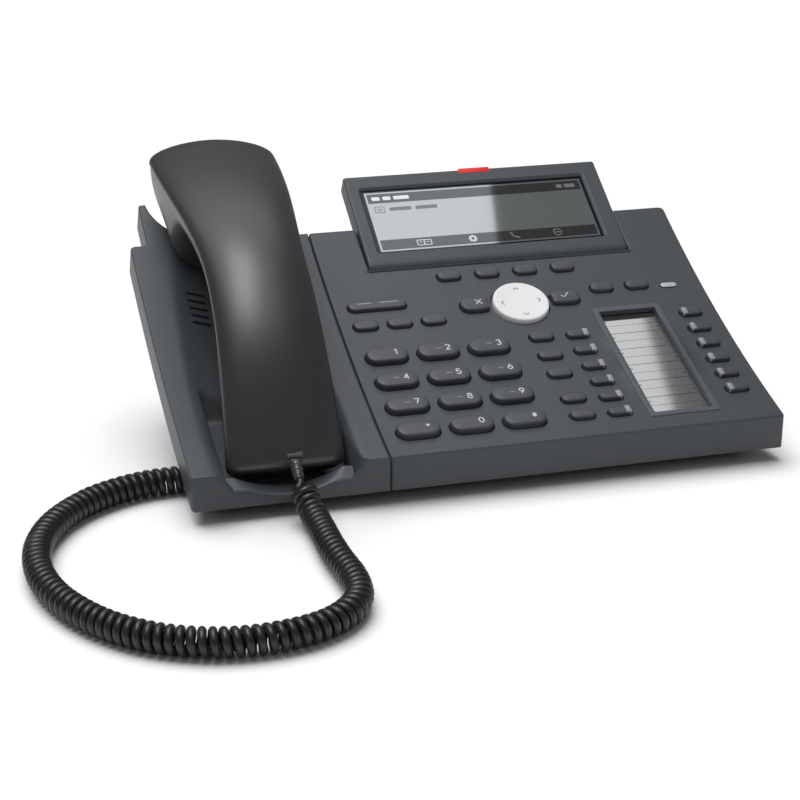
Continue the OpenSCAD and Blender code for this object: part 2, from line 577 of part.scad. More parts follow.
function_key(2);  // function_key_3
function_key(3);  // function_key_4
function_key(4);  // function_key_5
function_key(5);  // function_key_6
function_key(6);  // function_key_7
function_key(7);  // function_key_8
function_key(8);  // function_key_9
function_key(9);  // function_key_10
function_key(10);  // function_key_11
function_key(11);  // function_key_12
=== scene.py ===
import bpy, math
import numpy as np
from mathutils import Vector, Matrix, Euler
from mathutils.geometry import delaunay_2d_cdt


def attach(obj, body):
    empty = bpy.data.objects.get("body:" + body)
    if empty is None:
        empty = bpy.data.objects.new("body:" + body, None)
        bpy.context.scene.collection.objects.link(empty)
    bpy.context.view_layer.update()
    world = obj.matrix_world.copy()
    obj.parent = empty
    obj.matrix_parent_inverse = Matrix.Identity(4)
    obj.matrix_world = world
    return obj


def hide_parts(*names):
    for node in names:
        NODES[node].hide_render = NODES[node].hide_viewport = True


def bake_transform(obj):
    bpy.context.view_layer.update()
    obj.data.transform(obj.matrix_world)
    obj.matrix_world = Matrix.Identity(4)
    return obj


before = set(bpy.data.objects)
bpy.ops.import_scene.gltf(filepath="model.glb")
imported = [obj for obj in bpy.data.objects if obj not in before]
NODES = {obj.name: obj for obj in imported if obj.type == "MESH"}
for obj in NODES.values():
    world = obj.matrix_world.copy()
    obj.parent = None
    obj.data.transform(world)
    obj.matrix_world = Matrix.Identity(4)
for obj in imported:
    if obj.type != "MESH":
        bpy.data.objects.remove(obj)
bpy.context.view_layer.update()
scene = bpy.context.scene

# ------------------------------------------------------------------ frame
# working frame in mm: x = 0 at the seam, y = z = 0 at the front top edge
MX, MY, FH = 45.9, 82.13, 19.8
R, FS = 613.7, math.radians(15.844)
CY, CZ = -R * math.sin(FS), R * math.cos(FS)
TOP_LEN, SLAB = 147.2, 13.8


def W(p):
    p = np.asarray(p, float)
    return (p - np.array([MX, MY, -FH])) / 1000.0


def P0(s):
    t = FS + np.asarray(s, float) / R
    return CY + R * np.sin(t), CZ - R * np.cos(t), t


def M(x, s, h, shear=True):
    x, s, h = np.broadcast_arrays(np.asarray(x, float), np.asarray(s, float), np.asarray(h, float))
    if shear:
        s = s + 0.2838 * np.minimum(h, 0) * np.clip(1 - s / 8.0, 0, 1)
    y, z, t = P0(s)
    return W(np.stack([x, y - h * np.sin(t), z + h * np.cos(t)], -1))


# ------------------------------------------------------------------ camera
cam_data = bpy.data.cameras.new("camera")
cam_data.lens = 87.77
cam_data.sensor_width = 36.0
cam_data.clip_start, cam_data.clip_end = 0.05, 50
cam = bpy.data.objects.new("camera", cam_data)
scene.collection.objects.link(cam)
cam.location = W([-196.64, -691.89, 286.92])
cam.rotation_euler = Euler((math.radians(90 - 20.063), 0, math.radians(-16.154)), "XYZ")
scene.camera = cam

# ------------------------------------------------------------------ materials
def clear(mat):
    mat.use_nodes = True
    nt = mat.node_tree
    nt.nodes.clear()
    out = nt.nodes.new("ShaderNodeOutputMaterial")
    bs = nt.nodes.new("ShaderNodeBsdfPrincipled")
    nt.links.new(bs.outputs[0], out.inputs[0])
    return nt, bs


def moulded(name, col, rough=0.5, var=0.10, grain=1400.0, bump=0.25, dist=2e-5, spec=0.5, rvar=0.08,
            cloud=35.0, coat=0.0, coat_rough=0.05, coat_ior=1.5, sheen=0.0, tint=(1, 1, 1), speck=0.0):
    """Moulded plastic: cloudy tone, fine grain that breaks up the gloss, and a grain bump."""
    m = bpy.data.materials.new(name)
    nt, bs = clear(m)
    N, L = nt.nodes, nt.links
    tc = N.new("ShaderNodeTexCoord")
    n1 = N.new("ShaderNodeTexNoise"); n1.inputs["Scale"].default_value = cloud; n1.inputs["Detail"].default_value = 4
    n2 = N.new("ShaderNodeTexNoise"); n2.inputs["Scale"].default_value = grain; n2.inputs["Detail"].default_value = 2
    for n in (n1, n2):
        L.new(tc.outputs["Object"], n.inputs["Vector"])
    mix = N.new("ShaderNodeMix"); mix.data_type = "RGBA"; mix.blend_type = "MIX"
    a = [c * (1 - var) for c in col]; b = [min(1, c * (1 + var) * t) for c, t in zip(col, tint)]
    mix.inputs["A"].default_value = (*a, 1); mix.inputs["B"].default_value = (*b, 1)
    ad = N.new("ShaderNodeMath"); ad.operation = "MULTIPLY_ADD"; ad.inputs[1].default_value = 0.35; ad.use_clamp = True
    L.new(n2.outputs["Fac"], ad.inputs[0])
    sc = N.new("ShaderNodeMath"); sc.operation = "MULTIPLY"; sc.inputs[1].default_value = 0.65
    L.new(n1.outputs["Fac"], sc.inputs[0]); L.new(sc.outputs[0], ad.inputs[2])
    L.new(ad.outputs[0], mix.inputs["Factor"])
    L.new(mix.outputs["Result"], bs.inputs["Base Color"])
    mr = N.new("ShaderNodeMapRange")
    mr.inputs["From Min"].default_value, mr.inputs["From Max"].default_value = 0.3, 0.7
    mr.inputs["To Min"].default_value, mr.inputs["To Max"].default_value = max(0.02, rough - rvar), min(1, rough + rvar)
    L.new(n2.outputs["Fac"], mr.inputs["Value"]); L.new(mr.outputs["Result"], bs.inputs["Roughness"])
    if bump > 0:
        bp = N.new("ShaderNodeBump"); bp.inputs["Strength"].default_value = bump; bp.inputs["Distance"].default_value = dist
        L.new(n2.outputs["Fac"], bp.inputs["Height"]); L.new(bp.outputs["Normal"], bs.inputs["Normal"])
    bs.inputs["Specular IOR Level"].default_value = spec
    if coat > 0:
        bs.inputs["Coat Weight"].default_value = coat
        bs.inputs["Coat Roughness"].default_value = coat_rough
        bs.inputs["Coat IOR"].default_value = coat_ior
    if sheen > 0:
        bs.inputs["Sheen Weight"].default_value = sheen
    m.diffuse_color = (*col, 1)
    return m


def glow(m, col, strength):
    bs = [n for n in m.node_tree.nodes if n.type == "BSDF_PRINCIPLED"][0]
    bs.inputs["Emission Color"].default_value = (*col, 1)
    bs.inputs["Emission Strength"].default_value = strength
    return m


def film(name, col, rough=0.045):
    """Printed or liquid-crystal film over a mirror-like backing."""
    m = moulded(name, col, rough=rough, grain=2600, bump=0.0, var=0.04, rvar=0.01)
    [n for n in m.node_tree.nodes if n.type == "BSDF_PRINCIPLED"][0].inputs["Metallic"].default_value = 0.92
    return m


MAT = {
    "panel": moulded("panel_plastic", (0.054, 0.061, 0.068), rough=0.47, grain=1700, bump=0.30, dist=3e-5, spec=0.5),
    "housing": moulded("housing_plastic", (0.048, 0.052, 0.058), rough=0.52, grain=1500, bump=0.35, dist=3e-5),
    "key": moulded("key_plastic", (0.060, 0.066, 0.074), rough=0.40, grain=2400, bump=0.18, dist=1.5e-5),
    "handset": moulded("handset_plastic", (0.020, 0.0205, 0.022), rough=0.36, grain=2600, bump=0.10, dist=1.2e-5, var=0.08, rvar=0.04, spec=0.72),
    "stand": moulded("stand_plastic", (0.030, 0.032, 0.036), rough=0.55, grain=1300, bump=0.4, dist=3e-5),
    "rubber": moulded("foot_rubber", (0.014, 0.014, 0.014), rough=0.78, grain=1100, bump=0.5, dist=4e-5),
    "screwsteel": moulded("hook_plastic", (0.02, 0.02, 0.022), rough=0.35, grain=2000, bump=0.2),
    "board": moulded("board_mask", (0.012, 0.075, 0.03), rough=0.35, grain=600, bump=0.5, dist=5e-5, var=0.25),
    "mat": moulded("mat_silicone", (0.12, 0.12, 0.125), rough=0.65, grain=900, bump=0.3),
    "cord": moulded("cord_jacket", (0.013, 0.013, 0.0135), rough=0.34, grain=900, bump=0.18, dist=3e-5, var=0.2),
    "plug": moulded("plug_clear", (0.10, 0.105, 0.11), rough=0.22, grain=700, bump=0.1, coat=0.4),
    "print": moulded("print_white", (0.62, 0.63, 0.64), rough=0.55, grain=3500, bump=0.1, var=0.05),
    "printgrey": moulded("print_grey", (0.30, 0.31, 0.32), rough=0.55, grain=3500, bump=0.1, var=0.08),
    "disc": moulded("disc_white", (0.82, 0.825, 0.835), rough=0.42, grain=2200, bump=0.12, var=0.03, cloud=60),
    "tick": moulded("disc_tick", (0.22, 0.225, 0.235), rough=0.5, grain=2200, bump=0.1),
    "led": moulded("led_lens", (0.30, 0.305, 0.315), rough=0.30, grain=1800, bump=0.12, var=0.08, coat=0.5, coat_rough=0.15),
    "lamp": moulded("message_lens", (0.50, 0.50, 0.52), rough=0.30, grain=1500, bump=0.1, coat=0.5, coat_rough=0.1),
    "red": glow(moulded("alert_red", (0.52, 0.012, 0.010), rough=0.34, grain=900, bump=0.12, coat=0.15, spec=0.3), (1.0, 0.04, 0.025), 0.22),
    "lcd_bg": film("lcd_ground", (0.41, 0.435, 0.445)),
    "lcd_dark": film("lcd_dark", (0.045, 0.048, 0.052)),
    "lcd_bar": film("lcd_bar", (0.120, 0.128, 0.134)),
    "frame": moulded("label_frame_plastic", (0.085, 0.092, 0.10), rough=0.38, grain=1900, bump=0.2, dist=2e-5),
    "plug_dark": moulded("plug_smoke", (0.045, 0.046, 0.05), rough=0.25, grain=800, bump=0.12, coat=0.3),
    "lcd_line": film("lcd_line", (0.17, 0.18, 0.19)),
    "lcd_icon": film("lcd_icon", (0.62, 0.64, 0.65)),
    "paper": film("label_paper", (0.42, 0.43, 0.435), 0.06),
    "rule": film("label_rule", (0.17, 0.175, 0.18), 0.06),
}

# ------------------------------------------------------------------ mesh helpers
PIECES = {}


def make(name, verts, faces, mat, body="root", replaces=(), angle=35.0, recalc=True):
    """One piece: mesh in the row frame (metres), smooth with sharp edges by angle."""
    me = bpy.data.meshes.new(name)
    me.from_pydata([tuple(map(float, v)) for v in verts], [], [tuple(int(i) for i in f) for f in faces])
    me.validate()
    if recalc:
        import bmesh
        bm = bmesh.new(); bm.from_mesh(me)
        bmesh.ops.remove_doubles(bm, verts=bm.verts, dist=1e-7)
        bmesh.ops.recalc_face_normals(bm, faces=bm.faces)
        bm.to_mesh(me); bm.free()
    me.polygons.foreach_set("use_smooth", [True] * len(me.polygons))
    me.set_sharp_from_angle(angle=math.radians(angle))
    ob = bpy.data.objects.new(name, me)
    scene.collection.objects.link(ob)
    me.materials.append(mat if not isinstance(mat, str) else MAT[mat])
    if body:
        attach(ob, body)
    if replaces:
        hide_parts(*replaces)
    PIECES[name] = ob
    return ob


class MB:
    def __init__(self):
        self.v, self.f = [], []

    def add(self, pts):
        i = len(self.v)
        self.v.extend([tuple(p) for p in pts])
        return list(range(i, i + len(pts)))

    def bridge(self, a, b, closed=True):
        n = len(a)
        for i in range(n if closed else n - 1):
            j = (i + 1) % n
            self.f.append((a[i], a[j], b[j], b[i]))

    def cap(self, a):
        self.f.append(tuple(a))

    def fan(self, a, centre):
        c = self.add([centre])[0]
        for i in range(len(a)):
            self.f.append((a[i], a[(i + 1) % len(a)], c))


def rrect(cx, cy, w, h, r, o=0.0, n=8):
    w, h, r = w / 2 + o, h / 2 + o, max(r + o, 1e-3)
    pts = []
    for k, (sx, sy) in enumerate([(1, -1), (1, 1), (-1, 1), (-1, -1)]):
        a0 = math.radians(-90 + 90 * k)
        for i in range(n + 1):
            a = a0 + math.radians(90) * i / n
            pts.append((cx + sx * (w - r) + r * math.cos(a), cy + sy * (h - r) + r * math.sin(a)))
    return np.array(pts)


def pill(cx, cy, l, w, o=0.0, n=10):
    return rrect(cx, cy, l, w, w / 2 - 1e-3, o, n)


def circ(cx, cy, r, o=0.0, n=96):
    a = np.arange(n) * 2 * math.pi / n
    return np.stack([cx + (r + o) * np.cos(a), cy + (r + o) * np.sin(a)], 1)


def rounded(poly, radii, seg=6):
    """Rounds a CCW polygon's corners."""
    P = [np.array(p, float) for p in poly]
    out = []
    n = len(P)
    for i in range(n):
        r = radii[i] if hasattr(radii, "__len__") else radii
        a, b, c = P[i - 1], P[i], P[(i + 1) % n]
        u, v = (a - b) / np.linalg.norm(a - b), (c - b) / np.linalg.norm(c - b)
        ang = math.acos(np.clip(u @ v, -1, 1))
        if r <= 1e-6 or ang > math.pi - 1e-3:
            out.append(b)
            continue
        d = r / math.tan(ang / 2)
        d = min(d, 0.45 * np.linalg.norm(a - b), 0.45 * np.linalg.norm(c - b))
        r = d * math.tan(ang / 2)
        m = (u + v) / np.linalg.norm(u + v)
        ctr = b + m * (r / math.sin(ang / 2))
        p, q = b + u * d, b + v * d
        a0 = math.atan2(*(p - ctr)[::-1]); a1 = math.atan2(*(q - ctr)[::-1])
        da = (a1 - a0 + math.pi) % (2 * math.pi) - math.pi
        for k in range(seg + 1):
            t = a0 + da * k / seg
            out.append(ctr + r * np.array([math.cos(t), math.sin(t)]))
    return np.array(out)


def offset(poly, d):
    """Moves a CCW outline outwards by d (inwards when negative), same number of points."""
    p = np.asarray(poly, float)
    e1 = p - np.roll(p, 1, 0); e2 = np.roll(p, -1, 0) - p
    def nrm(e):
        l = np.linalg.norm(e, axis=1, keepdims=True); l[l < 1e-9] = 1
        return np.stack([e[:, 1], -e[:, 0]], 1) / l
    n1, n2 = nrm(e1), nrm(e2)
    k = 1 + (n1 * n2).sum(1, keepdims=True)
    return p + d * (n1 + n2) / np.maximum(k, 0.25)


def inside(pts, loop):
    pts = np.asarray(pts); x, y = pts[:, 0], pts[:, 1]
    c = np.zeros(len(pts), bool)
    q = np.asarray(loop)
    for (x1, y1), (x2, y2) in zip(q, np.roll(q, -1, 0)):
        if y1 == y2:
            continue
        hit = ((y1 > y) != (y2 > y)) & (x < (x2 - x1) * (y - y1) / (y2 - y1) + x1)
        c ^= hit
    return c


def near(pts, loop, d):
    """True where a point is within d of the loop's segments."""
    pts = np.asarray(pts); q = np.asarray(loop); r = np.roll(q, -1, 0)
    out = np.zeros(len(pts), bool)
    lo, hi = q.min(0) - d, q.max(0) + d
    idx = np.where(((pts >= lo) & (pts <= hi)).all(1))[0]
    if len(idx) == 0:
        return out
    pp = pts[idx]
    best = np.full(len(pp), 1e9)
    for a, b in zip(q, r):
        ab = b - a; L = ab @ ab
        t = np.clip(((pp - a) @ ab) / (L if L > 1e-12 else 1), 0, 1)
        best = np.minimum(best, np.linalg.norm(pp - (a + t[:, None] * ab), axis=1))
    out[idx] = best < d
    return out


def tri_region(loops, pts):
    """Triangles of the region inside loops[0] and outside the others, with extra points."""
    vs, es, start = [], [], []
    for l in loops:
        b = len(vs); n = len(l); start.append(b)
        vs += [Vector((float(p[0]), float(p[1]))) for p in l]
        es += [(b + i, b + (i + 1) % n) for i in range(n)]
    vs += [Vector((float(p[0]), float(p[1]))) for p in pts]
    ov, oe, of_, orig, _, _ = delaunay_2d_cdt(vs, es, [], 0, 1e-5)
    ov = np.array([[p.x, p.y] for p in ov])
    tri = np.array([list(f) for f in of_ if len(f) == 3])
    c = ov[tri].mean(1)
    keep = inside(c, loops[0])
    for l in loops[1:]:
        lo, hi = np.min(l, 0), np.max(l, 0)
        box = np.where(((c >= lo) & (c <= hi)).all(1))[0]
        if len(box):
            k = inside(c[box], l)
            keep[box[k]] = False
    tri = tri[keep]
    used = {}
    for j, o in enumerate(orig):
        for i in o:
            used[i] = j
    loop_idx = [[used[b + i] for i in range(len(l))] for b, l in zip(start, loops)]
    return ov, tri, loop_idx


def fillet(f, n=4, sign=-1):
    """Ring steps of a convex edge: offset sign*f..0, height 0..-f."""
    return [(sign * f * (1 - math.sin(math.radians(90) * k / n)), -f * (1 - math.cos(math.radians(90) * k / n))) for k in range(n + 1)]


def plate(mb, outer, holes, H, grid, wall, bottom_h, f_out=0.8, guard=0.25, inner=2.2, mapf=M, extra=None, drop=None):
    """A cover: a top with rounded edges and rounded holes, side walls down to bottom_h, and a hollow underside.
    outer: function offset -> loop. holes: list of (function offset -> loop, edge radius)."""
    def put(pts2, h):
        return mb.add(mapf(pts2[:, 0], pts2[:, 1], h))
    top_loops = [outer(-f_out - guard)] + [fn(fr + guard) for fn, fr in holes]
    g = grid[inside(grid, outer(-f_out - guard - 0.3))]
    for fn, fr in holes:
        l = fn(fr + guard + 0.25)
        lo, hi = l.min(0), l.max(0)
        m = np.where(((g >= lo) & (g <= hi)).all(1))[0]
        if len(m):
            k = inside(g[m], l)
            g = np.delete(g, m[k], 0)
    ov, tri, li = tri_region(top_loops, g)
    ids = put(ov, H(ov[:, 0], ov[:, 1]))
    for t in tri:
        mb.f.append((ids[t[0]], ids[t[1]], ids[t[2]]))
    # outer edge and wall
    prev = [ids[i] for i in li[0]]
    base = outer(0.0)
    for o, dh in fillet(f_out, 5):
        l = outer(o)
        cur = put(l, H(l[:, 0], l[:, 1]) + dh)
        mb.bridge(prev, cur); prev = cur
    hb = H(base[:, 0], base[:, 1]) - f_out
    for k in (0.5, 1.0):
        cur = put(base, hb + (bottom_h - hb) * k)
        mb.bridge(prev, cur); prev = cur
    # rim and inner wall
    inn = outer(-inner)
    cur = put(inn, np.full(len(inn), bottom_h)); mb.bridge(prev, cur); prev = cur
    low_loops = [inn] + [fn(0.0) for fn, fr in holes]
    g2 = grid[inside(grid, outer(-inner - 0.4))]
    for fn, fr in holes:
        l = fn(0.3)
        lo, hi = l.min(0), l.max(0)
        m = np.where(((g2 >= lo) & (g2 <= hi)).all(1))[0]
        if len(m):
            k = inside(g2[m], l)
            g2 = np.delete(g2, m[k], 0)
    ov2, tri2, li2 = tri_region(low_loops, g2)
    ids2 = put(ov2, H(ov2[:, 0], ov2[:, 1]) - wall)
    for t in tri2:
        mb.f.append((ids2[t[2]], ids2[t[1]], ids2[t[0]]))
    mb.bridge(prev, [ids2[i] for i in li2[0]])
    # holes
    for q, (fn, fr) in enumerate(holes):
        prev = [ids[i] for i in li[1 + q]]
        for o, dh in fillet(fr, 3, 1):
            l = fn(o)
            cur = put(l, H(l[:, 0], l[:, 1]) + dh)
            mb.bridge(prev, cur); prev = cur
        mb.bridge(prev, [ids2[i] for i in li2[1 + q]])


def grid_pts(x0, x1, s0, s1, dx, ds, jitter=0.0):
    xs = np.linspace(x0, x1, max(2, int(round((x1 - x0) / dx)) + 1))
    ss = np.linspace(s0, s1, max(2, int(round((s1 - s0) / ds)) + 1))
    g = np.array([(x, s) for s in ss for x in xs])
    return g



# ------------------------------------------------------------------ curly cord
COIL_D, WIRE = 11.2, 3.3
CZ0 = -FH + COIL_D / 2
PTS = [[-38, -3.2, -4.2], [-37.4, -7, -7], [-36.6, -11.5, -10.8], [-35.8, -17, -13.4], [-35.6, -24, CZ0], [-35.8, -34, CZ0],
       [-36.2, -46, CZ0], [-36, -58, CZ0], [-35.3, -70, CZ0], [-35.6, -81, CZ0], [-37.8, -91, CZ0], [-43.5, -100, CZ0],
       [-53, -107.2, CZ0], [-65, -111.4, CZ0], [-79, -112.6, CZ0], [-93, -110.6, CZ0], [-106, -105, CZ0], [-117.5, -96.6, CZ0],
       [-127.5, -85, CZ0], [-135.6, -70.6, CZ0], [-141.2, -54, CZ0], [-143.4, -36, CZ0], [-141.8, -18, CZ0], [-136.4, -2, CZ0],
       [-127.6, 12, CZ0], [-116.4, 23, CZ0], [-104, 30.4, CZ0], [-92, 34.2, CZ0], [-82, 35.2, CZ0], [-72.6, 35.2, CZ0]]


def smooth_path(P, step):
    """Uniform Catmull-Rom through P, resampled evenly."""
    P = np.array(P, float)
    Q = np.vstack([2 * P[0] - P[1], P, 2 * P[-1] - P[-2]])
    out = []
    for i in range(1, len(Q) - 2):
        p0, p1, p2, p3 = Q[i - 1], Q[i], Q[i + 1], Q[i + 2]
        for k in range(24):
            u = k / 24
            out.append(0.5 * (2 * p1 + (p2 - p0) * u + (2 * p0 - 5 * p1 + 4 * p2 - p3) * u * u + (3 * p1 - p0 - 3 * p2 + p3) * u ** 3))
    out.append(Q[-2])
    out = np.array(out)
    L = np.concatenate([[0], np.cumsum(np.linalg.norm(np.diff(out, axis=0), axis=1))])
    n = int(round(L[-1] / step)) + 1
    t = np.linspace(0, L[-1], n)
    return np.stack([np.interp(t, L, out[:, i]) for i in range(3)], 1), L[-1]


def frames(path):
    """Tangents and rotation-minimising normals."""
    T = np.gradient(path, axis=0); T /= np.linalg.norm(T, axis=1, keepdims=True)
    n = np.cross(T[0], [0, 0, 1.0]); n /= np.linalg.norm(n)
    Nn = [n]
    for i in range(1, len(T)):
        v = Nn[-1] - T[i] * (Nn[-1] @ T[i]); v /= np.linalg.norm(v)
        Nn.append(v)
    Nn = np.array(Nn)
    return T, Nn, np.cross(T, Nn)


def sweep(mb, path, radius, sides=10, closed_ends=True):
    T, A, B = frames(path)
    rings = []
    for i, p in enumerate(path):
        a = np.arange(sides) * 2 * math.pi / sides
        r = radius[i] if hasattr(radius, "__len__") else radius
        rings.append(mb.add([p + r * (math.cos(t) * A[i] + math.sin(t) * B[i]) for t in a]))
    for a, b in zip(rings, rings[1:]):
        mb.bridge(a, b)
    if closed_ends:
        mb.cap(rings[0][::-1]); mb.cap(rings[-1])
    return rings


axis, axis_len = smooth_path(PTS, 0.5)
PITCH = 3.72
turns = int(round((axis_len - 7.0) / PITCH))
per = 22
seg_n = turns * per
L = np.concatenate([[0], np.cumsum(np.linalg.norm(np.diff(axis, axis=0), axis=1))])
T, A, B = frames(axis)
lead = 3.5
u = np.concatenate([np.linspace(0, lead, 6, endpoint=False), np.linspace(lead, axis_len - lead, seg_n + 1), np.linspace(axis_len - lead, axis_len, 6)[1:]])
ph = np.clip((u - lead) / (axis_len - 2 * lead), 0, 1) * turns * 2 * math.pi
hr = (COIL_D - WIRE) / 2
ramp = np.clip(np.minimum(u - lead * 0.3, axis_len - lead * 0.3 - u) / 5.0, 0, 1)
ramp = ramp * ramp * (3 - 2 * ramp)
wob = 1 - 0.02 * (1 + np.sin(ph * 0.137 + 1.0)) / 2      # the coil is never quite even
c = np.stack([np.interp(u, L, axis[:, i]) for i in range(3)], 1)
a_ = np.stack([np.interp(u, L, A[:, i]) for i in range(3)], 1)
b_ = np.stack([np.interp(u, L, B[:, i]) for i in range(3)], 1)
line = c + (hr * ramp * wob)[:, None] * (np.cos(ph)[:, None] * a_ + np.sin(ph)[:, None] * b_)
mb = MB()
Tl = np.gradient(line, axis=0); Tl /= np.linalg.norm(Tl, axis=1, keepdims=True)
rings = []
tc_ = np.stack([np.interp(u, L, T[:, i]) for i in range(3)], 1)
for i in range(len(line)):
    e1 = tc_[i] - Tl[i] * (tc_[i] @ Tl[i])
    if np.linalg.norm(e1) < 0.3:
        e1 = a_[i] - Tl[i] * (a_[i] @ Tl[i])
        e1 = e1
    e1 /= np.linalg.norm(e1); e2 = np.cross(Tl[i], e1)
    if rings:
        # keep the ring's start next to the last ring's start
        k = prev_e1 - Tl[i] * (prev_e1 @ Tl[i]); k /= np.linalg.norm(k)
        e1, e2 = k, np.cross(Tl[i], k)
    prev_e1 = e1
    an = np.arange(10) * 2 * math.pi / 10
    rings.append(mb.add([line[i] + WIRE / 2 * (math.cos(t) * e1 + math.sin(t) * e2) for t in an]))
for ra, rb in zip(rings, rings[1:]):
    mb.bridge(ra, rb)
mb.cap(rings[0][::-1]); mb.cap(rings[-1])
cord = make("curly_cord", W(np.array(mb.v)), mb.f, "cord", body=None, replaces=("handset_cord",), angle=80, recalc=False)
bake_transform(cord)
print("cord axis length mm", round(axis_len, 1), "turns", turns)

# ------------------------------------------------------------------ key layout (x, distance up the curve)
NUM_X, NUM_S = [15.46, 38.26, 61.06], [63.74, 47.25, 30.77, 14.29]
SOFT_X, SOFT_S = [56.67, 74.61, 92.55, 110.49], 112.1
BAR = (19.7, 96.9)
LIST_X, LIST_S = [11.52, 26.84, 42.16], 84.57
NAV = (83.72, 90.27); NAV_R = 12.65
SIDE = [(86.2, 67.6), (86.2, 55.0), (86.2, 42.5)]
LOWER = [(86.4, 25.3), (86.4, 13.8)]
UPPER = [(124.1, 96.3), (141.0, 96.3)]
LAMP = (155.9, 94.5)
FN = [(102.75, 66.89 - i * 10.718) if i < 6 else (159.3, 74.79 - (i - 6) * 10.718) for i in range(12)]
LAB = (130.75, 45.75); LAB_W, LAB_L = 26.5, 69.5
GAP = 0.35


def cut_pill(cx, cy, l, w, o=0.0, side=1):
    """A pill with the navigation disc's ring cut out of one end."""
    base = pill(cx, cy, l, w, o, 12)
    rc = 14.9 - o
    n = np.array(NAV)
    d = base - n
    r = np.linalg.norm(d, axis=1)
    far = base.copy()
    bad = r < rc
    # points inside the circle slide along x onto it
    for i in np.where(bad)[0]:
        dy = base[i, 1] - n[1]
        if abs(dy) < rc:
            far[i, 0] = n[0] + side * math.sqrt(rc * rc - dy * dy)
    return far


def cut_pill_clean(cx, cy, l, w, side):
    """Outline of the cut pill at no offset, evenly sampled, CCW, with softened corners."""
    h = w / 2
    n = np.array(NAV); rc = 14.9
    yy = np.linspace(-h, h, 13)
    arc = [(n[0] + side * math.sqrt(rc * rc - (cy + y - n[1]) ** 2), cy + y) for y in yy]
    ex = cx + side * (l / 2 - h)
    cap = [(ex + side * h * math.cos(a), cy + h * math.sin(a)) for a in np.linspace(-math.pi / 2, math.pi / 2, 17)]
    if side > 0:
        poly = cap + arc[::-1]
    else:
        poly = cap[::-1] + arc
    poly = np.array(poly)
    # CCW?
    x, y = poly[:, 0], poly[:, 1]
    if (x * np.roll(y, -1) - np.roll(x, -1) * y).sum() < 0:
        poly = poly[::-1]
    # soften the two corners by light smoothing of the outline
    for _ in range(2):
        poly = 0.25 * np.roll(poly, 1, 0) + 0.5 * poly + 0.25 * np.roll(poly, -1, 0)
    return poly


CANCEL = cut_pill_clean(65.6, 91.6, 19.0, 8.6, -1)
OK = cut_pill_clean(102.4, 91.2, 19.0, 7.6, 1)

SHAPES = {}
for k, nme in enumerate(["key_1", "key_2", "key_3", "key_4", "key_5", "key_6", "key_7", "key_8", "key_9", "key_star", "key_0", "key_hash"]):
    x, s = NUM_X[k % 3], NUM_S[k // 3]
    SHAPES[nme] = (lambda o, x=x, s=s: pill(x, s, 18.4, 9.0, o, 12), (x, s), 3.0, "num")
for i, x in enumerate(SOFT_X):
    SHAPES[f"soft_key_{i+1}"] = (lambda o, x=x: pill(x, SOFT_S, 11, 5.5, o), (x, SOFT_S), 1.9, "small")
for i, x in enumerate(LIST_X):
    SHAPES[f"list_key_{i+1}"] = (lambda o, x=x: pill(x, LIST_S, 11, 5.5, o), (x, LIST_S), 1.9, "small")
for pre, ps in (("side", SIDE), ("lower", LOWER), ("upper", UPPER)):
    for i, (x, s) in enumerate(ps):
        SHAPES[f"{pre}_key_{i+1}"] = (lambda o, x=x, s=s: pill(x, s, 11, 5.5, o), (x, s), 1.9, "small")
SHAPES["bar_key"] = (lambda o: pill(BAR[0], BAR[1], 26.4, 5.5, o), BAR, 1.9, "small")
SHAPES["cancel_key"] = (lambda o: offset(CANCEL, o), (65.6, 91.6), 2.4, "cut")
SHAPES["ok_key"] = (lambda o: offset(OK, o), (102.4, 91.2), 2.4, "cut")
for i, (x, s) in enumerate(FN):
    SHAPES[f"function_key_{i+1}"] = (lambda o, x=x, s=s: pill(x, s, 10.4, 4.5, o), (x, s), 1.9, "fn")

# ------------------------------------------------------------------ display hinge frame
HS_, HH = 124.6, -3.6
_y, _z, _t = P0(HS_)
HY, HZ = float(_y - HH * math.sin(_t)), float(_z + HH * math.cos(_t))
DA = math.radians(32.9)
DX0, DW, DLEN, DR = 22.3, 123.4, 52.8, 4.5
DX1 = DX0 + DW


def D(x, v, n):
    """Display frame: x, v up the display from the hinge, n out of its face."""
    x, v, n = np.broadcast_arrays(np.asarray(x, float), np.asarray(v, float), np.asarray(n, float))
    return W(np.stack([x, HY + v * math.cos(DA) - n * math.sin(DA), HZ + v * math.sin(DA) + n * math.cos(DA)], -1))


# ------------------------------------------------------------------ key panel
REC_S = 119.15          # front edge of the display's recess, on the curve
rec_x0, rec_x1 = DX0 - 0.4, DX1 + 0.4
PAN_OUT = rounded([(0.15, 0), (172.2, 0), (172.2, TOP_LEN), (rec_x1, TOP_LEN), (rec_x1, REC_S), (rec_x0, REC_S), (rec_x0, TOP_LEN), (0.15, TOP_LEN)],
                  [1.3, 1.6, 2.6, 1.3, 0.3, 0.3, 1.3, 1.3], 5)


def densify(poly, step):
    out = []
    for a, b in zip(poly, np.roll(poly, -1, 0)):
        n = max(1, int(np.linalg.norm(b - a) / step))
        for k in range(n):
            out.append(a + (b - a) * k / n)
    return np.array(out)


PAN_OUT = densify(PAN_OUT, 8.0)


def flat(x, s):
    return np.zeros(len(x))


